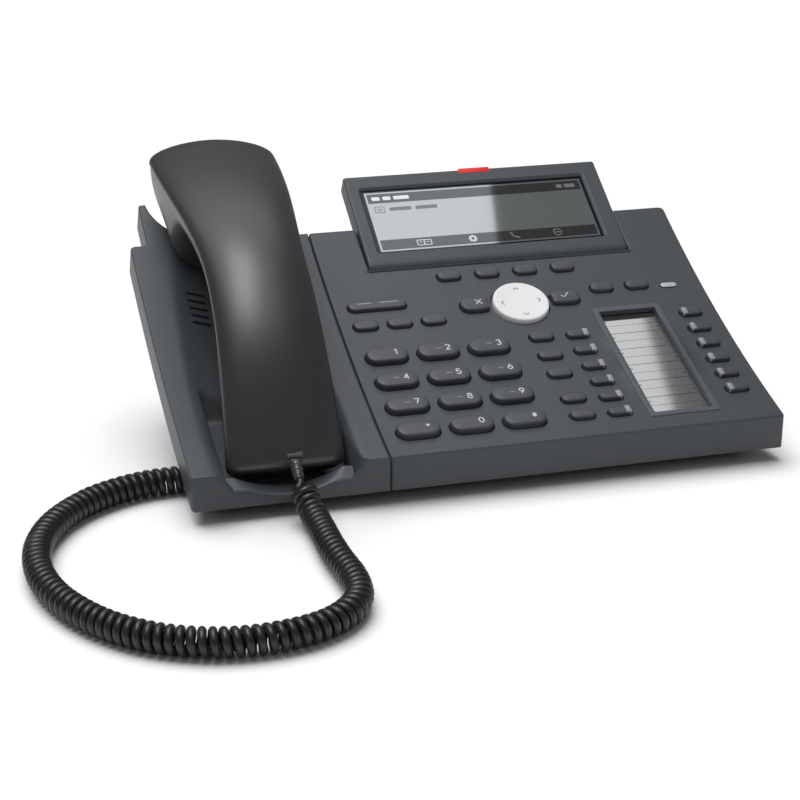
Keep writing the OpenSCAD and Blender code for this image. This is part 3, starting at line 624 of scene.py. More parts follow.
holes = []
for nme, (fn, c_, top, kind) in SHAPES.items():
    holes.append((lambda o, fn=fn: fn(GAP + o), 0.35 if kind != "num" else 0.45))
holes.append((lambda o: circ(NAV[0], NAV[1], NAV_R + 0.65, o), 0.45))
holes.append((lambda o: pill(LAMP[0], LAMP[1], 7.9, 3.2, o), 0.2))
holes.append((lambda o: rrect(LAB[0], LAB[1], LAB_W, LAB_L, 0.5, o, 4), 0.25))
mb = MB()
plate(mb, lambda o: offset(PAN_OUT, o), holes, flat, grid_pts(2, 170, 2, 145, 6, 5), 2.2, -SLAB, f_out=0.9)
panel = make("key_panel_top", mb.v, mb.f, "panel", replaces=("key_panel",), angle=28)

# tray behind the display, swept along x: front lip of the recess, hollow for the hinge, sloping floor
def tray_profile():
    pts = []
    # circle about the hinge from the front top, down and under, then the floor behind
    ra = 4.9
    a0 = math.radians(168)
    a1 = DA - math.radians(5) + math.radians(270)
    for k in range(15):
        a = a0 + (a1 - a0) * k / 14
        pts.append((HY + ra * math.cos(a), HZ + ra * math.sin(a)))
    f = DA - math.radians(5)
    # floor, to the rear face of the housing
    yr, zr, tr = P0(TOP_LEN)
    for k in range(1, 40):
        d = k * 0.5
        p = (HY + d * math.cos(f) + 4.9 * math.sin(f), HZ + d * math.sin(f) - 4.9 * math.cos(f))
        # signed distance past the rear face
        if (p[0] - yr) * math.cos(tr) + (p[1] - zr) * math.sin(tr) > -0.1:
            break
        pts.append(p)
    return np.array(pts)


tp = tray_profile()
tp_in = tp.copy()
dn = np.gradient(tp, axis=0); dn /= np.linalg.norm(dn, axis=1, keepdims=True)
tp_out = tp + 1.6 * np.stack([dn[:, 1], -dn[:, 0]], 1)
prof = np.vstack([tp_in, tp_out[::-1]])
mb = MB()
ra_, rb_ = [mb.add(W(np.column_stack([np.full(len(prof), xx), prof[:, 0], prof[:, 1]]))) for xx in (DX0 - 2.0, DX1 + 2.0)]
mb.bridge(ra_, rb_); mb.cap(ra_[::-1]); mb.cap(rb_)
make("display_tray", mb.v, mb.f, "housing", angle=30)

# ------------------------------------------------------------------ keys
def key_piece(name, fn, centre, top, kind, mat="key", body=None):
    mb = MB()
    cx, cs = centre
    dome = {"num": 0.30, "small": 0.16, "cut": 0.2, "fn": 0.14}[kind]
    f = {"num": 1.0, "small": 0.75, "cut": 0.8, "fn": 0.6}[kind]
    fl = {"num": 0.8, "small": 0.8, "cut": 0.3, "fn": 0.6}[kind]
    rings = [(fl, -3.5), (fl, -2.55), (0.0, -2.5), (0.0, 0.0), (-0.05, top - f - dome)]
    for k in range(1, 7):
        a = math.radians(90) * k / 6
        rings.append((-0.05 - f * (1 - math.cos(a)), top - dome - f + f * math.sin(a)))
    prev = None
    first = None
    for o, h in rings:
        l = fn(o)
        cur = mb.add(M(l[:, 0], l[:, 1], h, shear=False))
        if prev is None:
            first = cur
        else:
            mb.bridge(prev, cur)
        prev = cur
    # domed top: rings shrink to the middle line
    last = fn(rings[-1][0])
    hw = {"num": 4.5, "small": 2.75, "cut": 3.8, "fn": 2.25}[kind]
    tot = hw - f - 0.05
    ctr = np.array([cx, cs])
    x0, x1 = last[:, 0].min() + tot, last[:, 0].max() - tot
    for k in range(1, 6):
        q = k / 5.5
        spine = np.column_stack([np.clip(last[:, 0], x0, x1), np.full(len(last), cs)])
        l = last + (spine - last) * q
        cur = mb.add(M(l[:, 0], l[:, 1], top - dome + dome * (1 - (1 - q) ** 2), shear=False))
        mb.bridge(prev, cur); prev = cur
    mb.cap(prev)
    mb.cap(first[::-1])
    return make(name, mb.v, mb.f, mat, body=body or (name + "_body"), angle=40)


for nme, (fn, c_, top, kind) in SHAPES.items():
    ob = key_piece(nme + "_cap", fn, c_, top, kind, body=nme + "_body")
    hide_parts(nme)

# LEDs at the ends of the function keys: a lens that wraps the end, 2 mm long
for i, (x, s) in enumerate(FN):
    sg = 1 if i < 6 else -1
    mb = MB()
    def led_out(o, x=x, s=s, sg=sg):
        return rounded([(x + sg * 3.3 - 1.15 - o, s - 2.1 - o), (x + sg * 3.3 + 1.15 + o, s - 2.1 - o), (x + sg * 3.3 + 1.15 + o, s + 2.1 + o), (x + sg * 3.3 - 1.15 - o, s + 2.1 + o)], 0.3, 3)
    prev = None
    for o, h in [(0.02, 0.2), (0.02, 1.82), (-0.06, 1.96), (-0.2, 2.02)]:
        l = led_out(o); cur = mb.add(M(l[:, 0], l[:, 1], h, shear=False))
        if prev is None: mb.cap(cur[::-1])
        else: mb.bridge(prev, cur)
        prev = cur
    mb.cap(prev)
    make(f"led_{i+1}", mb.v, mb.f, "led", body=f"function_key_{i+1}_body", angle=40)

# navigation disc: dished, with a soft rim
mb = MB()
prev = None; first = None
prof_ = [(14.0, -4.2), (14.0, -3.4), (NAV_R - 0.05, -3.35), (NAV_R, 0.0), (NAV_R, 1.25)]
for k in range(1, 7):
    a = math.radians(90) * k / 6
    prof_.append((NAV_R - 0.9 * (1 - math.cos(a)), 1.25 + 0.9 * math.sin(a)))
for r_, h_ in [(11.2, 2.10), (10.2, 2.0), (8.5, 1.86), (6.5, 1.76), (4.3, 1.69), (2.0, 1.66)]:
    prof_.append((r_, h_))
for r_, h_ in prof_:
    l = circ(NAV[0], NAV[1], r_, 0, 96)
    cur = mb.add(M(l[:, 0], l[:, 1], h_, shear=False))
    if prev is None: first = cur
    else: mb.bridge(prev, cur)
    prev = cur
mb.cap(prev); mb.cap(first[::-1])
make("nav_disc_cap", mb.v, mb.f, "disc", body="nav", replaces=("nav_disc",), angle=40)


def ribbon(mb, pts, w, h0, h1, mapf=M, closed=False, hfun=None):
    """A printed stroke: a flat band of width w along pts (x, s), from h0 to h1."""
    p = np.array(pts, float)
    t = np.gradient(p, axis=0) if not closed else np.roll(p, -1, 0) - np.roll(p, 1, 0)
    t /= np.maximum(np.linalg.norm(t, axis=1, keepdims=True), 1e-9)
    n = np.stack([-t[:, 1], t[:, 0]], 1)
    a, b = p + n * w / 2, p - n * w / 2
    add = (hfun(p) if hfun is not None else np.zeros(len(p)))
    A0 = mb.add(mapf(a[:, 0], a[:, 1], h0 + add)); A1 = mb.add(mapf(a[:, 0], a[:, 1], h1 + add))
    B0 = mb.add(mapf(b[:, 0], b[:, 1], h0 + add)); B1 = mb.add(mapf(b[:, 0], b[:, 1], h1 + add))
    m = len(p)
    for i in range(m if closed else m - 1):
        j = (i + 1) % m
        mb.f += [(A1[i], A1[j], B1[j], B1[i]), (A0[i], B0[i], B0[j], A0[j]), (A0[i], A0[j], A1[j], A1[i]), (B0[i], B1[i], B1[j], B0[j])]
    if not closed:
        mb.f += [(A0[0], A1[0], B1[0], B0[0]), (A0[-1], B0[-1], B1[-1], A1[-1])]


MF = lambda x, s, h: M(x, s, h, shear=False)

# glyph strokes on a 0..1 by 0..1.5 box
def arc(cx, cy, rx, ry, a0, a1, n=12):
    return [(cx + rx * math.cos(math.radians(a0 + (a1 - a0) * k / n)), cy + ry * math.sin(math.radians(a0 + (a1 - a0) * k / n))) for k in range(n + 1)]


GLYPH = {
    "1": [[(0.2, 1.15), (0.55, 1.5), (0.55, 0)]],
    "2": [arc(0.5, 1.08, 0.45, 0.42, 170, -35) + [(0.05, 0.0), (1.0, 0.0)]],
    "3": [arc(0.48, 1.13, 0.42, 0.37, 150, -80, 10) + arc(0.48, 0.38, 0.48, 0.38, 90, -150, 12)],
    "4": [[(0.72, 0), (0.72, 1.5), (0.0, 0.42), (1.0, 0.42)]],
    "5": [[(0.92, 1.5), (0.2, 1.5), (0.12, 0.82)] + arc(0.48, 0.45, 0.48, 0.45, 120, -150, 12)],
    "6": [[(0.75, 1.5), (0.3, 1.0)] + arc(0.5, 0.46, 0.46, 0.46, 150, -210, 20)],
    "7": [[(0.0, 1.5), (1.0, 1.5), (0.38, 0.0)]],
    "8": [arc(0.5, 1.13, 0.38, 0.36, 0, 360, 16), arc(0.5, 0.39, 0.46, 0.39, 0, 360, 18)],
    "9": [[(0.25, 0.0), (0.7, 0.5)] + arc(0.5, 1.04, 0.46, 0.46, -30, 330, 20)],
    "0": [arc(0.5, 0.75, 0.46, 0.75, 0, 360, 22)],
    "*": [[(0.5, 0.55), (0.5, 1.25)], [(0.2, 0.72), (0.8, 1.08)], [(0.2, 1.08), (0.8, 0.72)]],
    "#": [[(0.3, 0.1), (0.42, 1.3)], [(0.64, 0.1), (0.76, 1.3)], [(0.05, 0.45), (0.95, 0.45)], [(0.1, 0.95), (1.0, 0.95)]],
}
for k, (nme, g) in enumerate(zip(["key_1", "key_2", "key_3", "key_4", "key_5", "key_6", "key_7", "key_8", "key_9", "key_star", "key_0", "key_hash"], "123456789*0#")):
    x, s = NUM_X[k % 3], NUM_S[k // 3]
    mb = MB()
    gx, gy, gw = x + 2.75, s - 1.6, 2.05
    dome = lambda q, s=s: -0.30 * (np.clip(np.abs(q[:, 1] - s) / 3.45, 0, 1)) ** 2
    for st in GLYPH[g]:
        st = np.array(st, float)
        fine = [st[0]]
        for a_, b_ in zip(st[:-1], st[1:]):
            m_ = max(1, int(np.linalg.norm(b_ - a_) / 0.16))
            fine += [a_ + (b_ - a_) * i / m_ for i in range(1, m_ + 1)]
        ribbon(mb, np.array(fine) * gw + [gx, gy], 0.52, 2.75, 3.09, MF, hfun=dome)
    if g in "23456789":      # a faint dash where small letters would be
        ribbon(mb, np.stack([np.linspace(x - 1.6, x + 0.9, 8), np.full(8, s - 0.2)], 1), 0.15, 2.75, 3.03, MF, hfun=dome)
    make(nme + "_legend", mb.v, mb.f, "print", body=nme + "_body", angle=40)
# cross and tick
mb = MB()
cx, cs = 64.3, 91.9
for st in ([(-1.5, -1.5), (1.5, 1.5)], [(-1.5, 1.5), (1.5, -1.5)]):
    ribbon(mb, np.array(st) + [cx, cs], 0.42, 2.2, 2.43, MF)
make("cancel_icon", mb.v, mb.f, "print", body="cancel_key_body", angle=40)
mb = MB()
ribbon(mb, np.array([(-1.7, 0.1), (-0.5, -1.2), (2.0, 1.6)]) + [104.4, 91.4], 0.45, 2.2, 2.43, MF)
make("ok_icon", mb.v, mb.f, "print", body="ok_key_body", angle=40)
# four small arrow ticks on the disc
mb = MB()
for a in (0, 90, 180, 270):
    ca, sa = math.cos(math.radians(a)), math.sin(math.radians(a))
    st = np.array([(8.0, -1.15), (9.1, 0), (8.0, 1.15)])
    st = np.stack([st[:, 0] * ca - st[:, 1] * sa, st[:, 0] * sa + st[:, 1] * ca], 1) + np.array(NAV)
    ribbon(mb, st, 0.45, 1.6, 1.98, MF)
make("nav_ticks", mb.v, mb.f, "tick", body="nav", angle=40)
# two short bars stand in for the words on the bar key
mb = MB()
for x0, x1 in ((10.5, 17.0), (20.5, 29.0)):
    ribbon(mb, np.array([(x0, BAR[1] + 0.5), (x1, BAR[1] + 0.5)]), 0.55, 1.7, 1.93, MF)
make("bar_key_print", mb.v, mb.f, "printgrey", body="bar_key_body", angle=40)

# ------------------------------------------------------------------ cradle cover
HX = -40.5


def PT(s, h):
    y, z, t = P0(s)
    return np.array([float(y - h * math.sin(t)), float(z + h * math.cos(t))])


def circle3(a, b, c):
    d = 2 * (a[0] * (b[1] - c[1]) + b[0] * (c[1] - a[1]) + c[0] * (a[1] - b[1]))
    a2, b2, c2 = a @ a, b @ b, c @ c
    return np.array([(a2 * (b[1] - c[1]) + b2 * (c[1] - a[1]) + c2 * (a[1] - b[1])) / d,
                     (a2 * (c[0] - b[0]) + b2 * (a[0] - c[0]) + c2 * (b[0] - a[0])) / d])


D_C = circle3(PT(0, -10.5), PT(75, -9), PT(147, -4))
D_BIG = float(np.linalg.norm(D_C - PT(0, -10.5)))
D_RAD = 46.7


def h_dish(x, s):
    dx = np.abs(x - HX)
    rs = (D_BIG - D_RAD) + np.sqrt(np.maximum(D_RAD ** 2 - dx ** 2, 1.0))
    y, z, t = P0(s)
    vy, vz = y - D_C[0], z - D_C[1]
    b = -np.sin(t) * vy + np.cos(t) * vz
    disc = b * b - (vy ** 2 + vz ** 2 - rs ** 2)
    h = -b - np.sqrt(np.maximum(disc, 0))
    return np.where(dx < D_RAD - 1, h, 50.0)


def smin(a, b, k):
    return np.minimum(a, b) - np.maximum(k - np.abs(a - b), 0) ** 2 / (4 * k)


PKT = np.array([[5.25, -12.2], [50, 2.9], [54, 12], [56, 34]])


def z_floor(y):
    y = np.asarray(y, float)
    lip = -8.6 + (y + 1) * 5 / 6.3
    fl = np.interp(y, PKT[:, 0], PKT[:, 1])
    return np.where(y < 5.25, lip, np.where(y > 56, 60.0, fl))


def yz(s, h):
    se = s + 0.2838 * np.minimum(h, 0) * np.clip(1 - s / 8.0, 0, 1)
    y, z, t = P0(se)
    return y - h * np.sin(t), z + h * np.cos(t)


_ss = np.arange(0, 70, 0.05)
_hh = np.linspace(0.0, -15.0, 301)
_yy, _zz = yz(_ss[:, None], _hh[None, :])
_f = _zz - z_floor(_yy)
H_PL = np.zeros(len(_ss))
for _i in range(len(_ss)):
    k = np.where(_f[_i] <= 0)[0]
    if len(k) == 0:
        H_PL[_i] = -13.2
    elif k[0] == 0:
        H_PL[_i] = 0.0
    else:
        a, b = _f[_i][k[0] - 1], _f[_i][k[0]]
        H_PL[_i] = _hh[k[0] - 1] + (_hh[k[0]] - _hh[k[0] - 1]) * a / (a - b) if a - b < 4 else _hh[k[0]]
STEP_S = _ss[np.argmin(np.diff(H_PL[:200]))]
H_PL = np.minimum(H_PL, 0)
print("lip step at s", STEP_S, "lip h", H_PL[0], "floor", H_PL[int(STEP_S / 0.05) + 4])
FA = np.array([-10.9, 1.9, 0.5]); FN_ = np.array([-0.901, -0.213, 0.378])


def h_cradle(x, s):
    x = np.asarray(x, float); s = np.asarray(s, float)
    d = smin(np.zeros(len(x)), h_dish(x, s), 1.6)
    pl = np.interp(s, _ss, H_PL, right=0.0)
    pocket = (x > HX - 26) & (x < HX + 26) & (s < 66)
    # rounded top edge of the pocket's walls
    r = 0.9
    for sg in (-1, 1):
        q = (x - HX) * sg - 26
        rim = (q >= 0) & (q < r) & (s < 66)
        drop = r * (1 - np.sqrt(np.clip(1 - ((r - q) / r) ** 2, 0, 1)))
        d = np.where(rim & (pl < d - 0.5), d - np.minimum(drop, np.maximum(d - pl, 0) * 0.5), d)
    h = np.where(pocket, np.minimum(d, pl), d)
    # the right-hand wall leans out
    hf = np.zeros(len(x))
    for _ in range(5):
        y, z = yz(s, hf)
        _, _, t = P0(s)
        val = FN_[0] * (x - FA[0]) + FN_[1] * (y - FA[1]) + FN_[2] * (z - FA[2])
        hf = hf - val / (FN_[1] * -np.sin(t) + FN_[2] * np.cos(t))
    fl = (x >= HX + 26) & (x < -8) & (s < 33)
    h = np.where(fl, np.where(hf < h, hf, h), h)
    return np.maximum(h, -13.25)


notch = [( HX + 29.4 * math.cos(a), 176.6 + 29.4 * math.sin(a)) for a in np.linspace(math.radians(-8.5), math.radians(-171.5), 41)]
CR_OUT = [(-80.4, 0), (-0.15, 0), (-0.15, TOP_LEN), (HX + 32.3, TOP_LEN), (HX + 32.3, 172.3)] + notch + [(HX - 32.3, 172.3), (HX - 32.3, TOP_LEN), (-80.4, TOP_LEN)]
rad = [1.6, 0.25, 0.25, 1.0, 1.2] + [0.0] * len(notch) + [1.2, 1.0, 2.2]
CR_OUT = densify(rounded(CR_OUT, rad, 5), 3.0)
CR_IN = rounded([(-78.2, 2.2), (-1.65, 2.2), (-1.65, 145), (HX + 30.1, 145), (HX + 30.1, 146), (HX - 30.1, 146), (HX - 30.1, 145), (-78.2, 145)], 0.0)
CR_IN = densify(rounded([(-78.2, 2.2), (-1.65, 2.2), (-1.65, 145), (-78.2, 145)], 0.8, 3), 3.0)


def cover(mb, out_fn, in_loop, holes, H, grid, wall, bottom_h, f_out, guard=0.25, mapf=M):
    def put(p, h):
        return mb.add(mapf(p[:, 0], p[:, 1], h))
    loops = [out_fn(-f_out - guard)] + [fn(fr + guard) for fn, fr in holes]
    g = grid[inside(grid, out_fn(-f_out - guard - 0.25))]
    for fn, fr in holes:
        l = fn(fr + guard + 0.25)
        k = inside(g, l)
        g = g[~k]
    ov, tri, li = tri_region(loops, g)
    ids = put(ov, H(ov[:, 0], ov[:, 1]))
    mb.f += [(ids[a], ids[b], ids[c]) for a, b, c in tri]
    prev = [ids[i] for i in li[0]]
    base = out_fn(0.0)
    for o, dh in fillet(f_out, 5):
        l = out_fn(o)
        cur = put(l, H(l[:, 0], l[:, 1]) + dh); mb.bridge(prev, cur); prev = cur
    hb = H(base[:, 0], base[:, 1]) - f_out
    for k in (0.33, 0.66, 1.0):
        cur = put(base, hb + (bottom_h - hb) * k); mb.bridge(prev, cur); prev = cur
    rv, rt, rl = tri_region([base, in_loop], np.zeros((0, 2)))
    rid = put(rv, np.full(len(rv), bottom_h))
    mb.f += [(rid[a], rid[b], rid[c]) for a, b, c in rt]
    low = [in_loop] + [fn(0.0) for fn, fr in holes]
    g2 = grid[inside(grid, offset(in_loop, -0.4))]
    for fn, fr in holes:
        g2 = g2[~inside(g2, fn(0.3))]
    ov2, tri2, li2 = tri_region(low, g2)
    ids2 = put(ov2, H(ov2[:, 0], ov2[:, 1]) - wall)
    mb.f += [(ids2[a], ids2[c], ids2[b]) for a, b, c in tri2]
    mb.bridge([rid[i] for i in rl[1]], [ids2[i] for i in li2[0]])
    for q, (fn, fr) in enumerate(holes):
        prev = [ids[i] for i in li[1 + q]]
        for o, dh in fillet(fr, 3, 1):
            l = fn(o)
            cur = put(l, H(l[:, 0], l[:, 1]) + dh); mb.bridge(prev, cur); prev = cur
        mb.bridge(prev, [ids2[i] for i in li2[1 + q]])


g = [grid_pts(-79.5, -1, 1.0, 171.5, 1.6, 1.6)]
rows = []
for s_ in np.arange(1.1, 62, 0.8):
    for x_ in (HX - 26 - 1.0, HX - 26 - 0.55, HX - 26 - 0.2, HX - 26 - 0.02, HX - 26 + 0.03, HX - 26 + 0.4,
               HX + 26 - 0.4, HX + 26 - 0.03, HX + 26 + 0.02, HX + 26 + 0.3, HX + 26 + 0.7, HX + 26 + 1.2, HX + 26 + 2.4, HX + 26 + 3.0, HX + 26 + 3.6):
        rows.append((x_, s_))
for x_ in np.arange(HX - 25.4, HX + 25.5, 1.0):
    for ds_ in (-0.6, -0.25, -0.03, 0.05, 0.3, 0.8):
        rows.append((x_, STEP_S + ds_))
rows = np.array(rows)
gg = g[0]
# the plain grid keeps clear of the denser rows
kx = (np.abs(np.abs(gg[:, 0] - HX) - 26) < 1.3) & (gg[:, 1] < 62.5)
ks = (np.abs(gg[:, 1] - STEP_S) < 1.2) & (np.abs(gg[:, 0] - HX) < 26)
kr = (gg[:, 0] > HX + 27) & (gg[:, 0] < HX + 30.2) & (gg[:, 1] < 62.5)
gg = gg[~(kx | ks | kr)]
grid_c = np.vstack([gg, rows])
slots = []
for k in range(-2, 3):
    for x_, hl in ((-16, 4.2), (0, 8.0), (16, 4.2)):
        slots.append((lambda o, x_=x_, k=k, hl=hl: rrect(HX + x_, 109.3 + k * 4.3, 2 * hl, 1.5, 0.7, o, 4), 0.25))
slots.append((lambda o: rrect(HX, 135, 6.6, 10.6, 0.6, o, 4), 0.3))
mb = MB()
cover(mb, lambda o: offset(CR_OUT, o), CR_IN, slots, h_cradle, grid_c, 2.0, -SLAB, 0.9)
make("cradle_top", mb.v, mb.f, "panel", replaces=("cradle_cover",), angle=32)

# ------------------------------------------------------------------ handset
HPT = np.array([[9.8, -4.5], [34.1, 62.8], [60.1, 77.7], [159.9, 91.3]])
HQ = np.array([[0, 13, -8.2], [0.05, 24, -5], [0.1, 35, -1.3], [0.15, 45, 2.2], [0.2, 50.5, 9], [0.25, 49.8, 22],
               [0.3, 48.4, 32], [0.35, 48.7, 39.8], [0.4, 52, 46.2], [0.5, 62.4, 54.2], [0.6, 75.3, 61], [0.7, 91.6, 65.8],
               [0.76, 103, 67], [0.8, 112, 63], [0.83, 117, 54], [0.86, 122, 46.7], [0.9, 132, 52.2], [0.95, 144.5, 59.1], [1, 157, 66]])
W_MOUTH, W_GRIP, W_EAR, GT = 48.8, 42.3, 56.3, 0.49


def bez(t):
    t = np.asarray(t, float)[:, None]
    return (1 - t) ** 3 * HPT[0] + 3 * (1 - t) ** 2 * t * HPT[1] + 3 * (1 - t) * t * t * HPT[2] + t ** 3 * HPT[3]


def dbez(t):
    t = np.asarray(t, float)[:, None]
    return 3 * (1 - t) ** 2 * (HPT[1] - HPT[0]) + 6 * (1 - t) * t * (HPT[2] - HPT[1]) + 3 * t * t * (HPT[3] - HPT[2])


def hermite(T, Y, x):
    m = np.gradient(Y, T)
    i = np.clip(np.searchsorted(T, x) - 1, 0, len(T) - 2)
    h = T[i + 1] - T[i]; u = (x - T[i]) / h
    return ((2 * u ** 3 - 3 * u ** 2 + 1) * Y[i] + (u ** 3 - 2 * u ** 2 + u) * h * m[i]
            + (-2 * u ** 3 + 3 * u ** 2) * Y[i + 1] + (u ** 3 - u ** 2) * h * m[i + 1])


def qline(t):
    return np.stack([hermite(HQ[:, 0], HQ[:, 1], t), hermite(HQ[:, 0], HQ[:, 2], t)], 1)


def hwid(t):
    a = W_GRIP + (W_MOUTH - W_GRIP) * np.maximum(0, (GT - t) / GT) ** 2
    b = W_GRIP + (W_EAR - W_GRIP) * np.sin(np.radians(90 * np.maximum(0, (t - GT) / (1 - GT)))) ** 2
    return np.where(t < GT, a, b)


def ear_q(t): return np.clip(1 - (1 - t) * 292 / 16, 0, 1)
def mouth_q(t): return np.clip(1 - t * 214 / 5, 0, 1)
def half_w(t):
    return hwid(t) / 2 * np.maximum(0.3, np.maximum(0, 1 - ear_q(t) ** 3) ** (1 / 3)) * (0.86 + 0.14 * np.maximum(0, 1 - mouth_q(t) ** 3) ** (1 / 3))
def crown_f(t):
    return np.maximum(0.12, np.maximum(0, 1 - ear_q(t) ** 2.5) ** 0.4) * np.maximum(0.3, np.maximum(0, 1 - mouth_q(t) ** 3) ** (1 / 3))


# stations: close at both rounded ends
e1 = 1 - (1 - np.sin(np.linspace(0, math.pi / 2, 12))) * 1.0
t_m = 5 / 214 * (1 - np.cos(np.linspace(0, math.pi / 2, 11)))
t_e = 1 - 16 / 292 * (1 - np.cos(np.linspace(0, math.pi / 2, 16)))
ts = np.concatenate([t_m, np.linspace(t_m[-1], t_e[-1], 84)[1:-1], t_e[::-1]])
NX = 44
xi = np.sin(np.linspace(-math.pi / 2, math.pi / 2, NX + 1))
bz_, dz_ = bez(ts), dbez(ts)
dz_ /= np.linalg.norm(dz_, axis=1, keepdims=True)
nr_ = np.stack([-dz_[:, 1], dz_[:, 0]], 1)
hw_ = half_w(ts)
oh = (3.2 + 5.65 * (1 - xi[None, :] ** 2)) * np.maximum(0, 1 - np.abs(xi[None, :]) ** 9) ** (1 / 3) * crown_f(ts)[:, None]


def shell(name, side_w, depth, dirv, base, lift, node):
    """A closed half of the handset: a rounded section on one side of the parting line."""
    mb = MB(); rings = []
    for i in range(len(ts)):
        pts = []
        a = side_w[i]
        p0 = bz_[i]
        # small round where the side meets the parting line
        for j, x in enumerate(xi):
            d = depth[i, j]
            if j in (0, NX):
                d = base[i]
            q = p0 + dirv[i] * max(d, base[i])
            pts.append((HX + a * x, q[0], q[1]))
        # back along the parting plane, slightly inside
        for x in (0.985, 0.93, 0.5, 0.0, -0.5, -0.93, -0.985):
            q = p0 + dirv[i] * (base[i] * (0.2 if abs(x) > 0.95 else 0.0) + lift)
            pts.append((HX + a * x, q[0], q[1]))
        rings.append(mb.add(W(np.array(pts))))
    for ra, rb in zip(rings, rings[1:]):
        mb.bridge(ra, rb)
    mb.cap(rings[0][::-1]); mb.cap(rings[-1])
    return make(name, mb.v, mb.f, "handset", body="handset", replaces=(node,), angle=38)


outer_base = np.full(len(ts), 0.45) * np.minimum(1, crown_f(ts) * 1.5)
shell("handset_outer", hw_, np.maximum(oh, 0.45 * np.minimum(1, crown_f(ts)[:, None] * 1.5)), nr_, outer_base, 0.12, "handset_outer_shell")
q_ = qline(ts)
vec = q_ - bz_
dep = np.linalg.norm(vec, axis=1)
dirn = vec / dep[:, None]
idp = dep[:, None] * np.maximum(0, 1 - np.abs(xi[None, :]) ** 3.5) ** 0.45
shell("handset_inner", hw_ - 0.4, idp, dirn, np.full(len(ts), 0.12), 0.0, "handset_inner_shell")

# ------------------------------------------------------------------ display
def DW_(x, v, n):
    """Display frame with the part below the hinge wrapped round the barrel."""
    x, v, n = np.broadcast_arrays(np.asarray(x, float), np.asarray(v, float), np.asarray(n, float))
    a = np.maximum(0, -v) / DR
    vv = np.where(v >= 0, v, -n * np.sin(a)); nn = np.where(v >= 0, n, n * np.cos(a))
    return D(x, vv, nn)


def slab_piece(name, outer, holes, top, bottom, f, mat, body, mapf, grid=None, fb=0.3, fh=0.4, replaces=(), angle=32, cham=None):
    """A plate with rounded top and bottom edges and rounded through openings."""
    mb = MB()
    def put(p, h): return mb.add(mapf(p[:, 0], p[:, 1], h))
    gd = 0.2
    cham = cham or {}
    loops = [outer(-f - gd)] + [fn(cham.get(q, fh) + gd) for q, fn in enumerate(holes)]
    g = np.zeros((0, 2)) if grid is None else grid[inside(grid, outer(-f - gd - 0.4))]
    if grid is not None:
        for q, fn in enumerate(holes):
            g = g[~inside(g, fn(cham.get(q, fh) + gd + 0.3))]
    ov, tri, li = tri_region(loops, g)
    ids = put(ov, np.full(len(ov), top))
    mb.f += [(ids[a], ids[b], ids[c]) for a, b, c in tri]
    prev = [ids[i] for i in li[0]]
    for o, dh in fillet(f, 5):
        l = outer(o); cur = put(l, np.full(len(l), top + dh)); mb.bridge(prev, cur); prev = cur
    for o, dh in fillet(fb, 3)[::-1]:
        l = outer(o); cur = put(l, np.full(len(l), bottom - dh)); mb.bridge(prev, cur); prev = cur
    low = [outer(-fb - 0.0)] + [fn(0.0) for fn in holes]
    g2 = np.zeros((0, 2)) if grid is None else grid[inside(grid, outer(-fb - 0.5))]
    if grid is not None:
        for fn in holes:
            g2 = g2[~inside(g2, fn(0.4))]
    ov2, tri2, li2 = tri_region(low, g2)
    ids2 = put(ov2, np.full(len(ov2), bottom))
    mb.f += [(ids2[a], ids2[c], ids2[b]) for a, b, c in tri2]
    mb.bridge(prev, [ids2[i] for i in li2[0]])
    for q, fn in enumerate(holes):
        prev = [ids[i] for i in li[1 + q]]
        r = cham.get(q, fh)
        if q in cham:      # a slanted inner edge
            steps = [(r, 0.0), (r * 0.93, -0.04), (r * 0.10, -r * 0.75), (0.0, -r * 0.85)]
        else:
            steps = fillet(r, 3, 1)
        for o, dh in steps:
            l = fn(o); cur = put(l, np.full(len(l), top + dh)); mb.bridge(prev, cur); prev = cur
        mb.bridge(prev, [ids2[i] for i in li2[1 + q]])
    return make(name, mb.v, mb.f, mat, body=body, replaces=replaces, angle=angle)


BZ_V0 = -5.6
def bez_out(o):
    return rrect_d((DX0 + DX1) / 2, (BZ_V0 + DLEN) / 2, DW, DLEN - BZ_V0, 1.3, o)


def rrect_d(cx, cy, w, h, r, o=0.0, n=6, kx=24, ky=20):
    """Rounded rectangle with extra points along its sides, the same number at every offset."""
    base = rrect(cx, cy, w, h, r, o, n)
    out = []
    m = n + 1
    for c_ in range(4):
        a = base[c_ * m:(c_ + 1) * m]
        b = base[((c_ + 1) % 4) * m]
        out += list(a)
        k = ky if c_ % 2 == 0 else kx
        for i in range(1, k):
            out.append(a[-1] + (b - a[-1]) * i / k)
    return np.array(out)


lamp_x0, lamp_x1 = 77.9, 93.4
def lamp_notch(o):
    return rrect((lamp_x0 + lamp_x1) / 2, DLEN - 1.6, lamp_x1 - lamp_x0, 2.2, 0.3, o, 3)


slab_piece("display_front", bez_out, [lambda o: rrect((28.9 + 137.1) / 2, (5.8 + 44.4) / 2, 108.2, 38.6, 0.9, o, 5)],
           DR, 1.55, 1.0, "panel", "display", DW_, grid=grid_pts(DX0 + 2, DX1 - 2, BZ_V0 + 1, DLEN - 1, 6, 1.4), fb=0.25,
           replaces=("display_bezel",), cham={0: 1.15}, angle=30)

# back of the display: profile swept along x with softened ends
prof_b = [(4.2 * math.cos(a), 4.2 * math.sin(a)) for a in np.linspace(math.radians(190), math.radians(270), 12)]
prof_b += [(50.5, -4.4), (51.7, -4.1), (52.4, -3.3), (52.55, -2.4), (52.55, 1.1), (52.3, 1.42), (0.6, 1.42), (-2.0, 1.3)]
prof_b = np.array(prof_b)


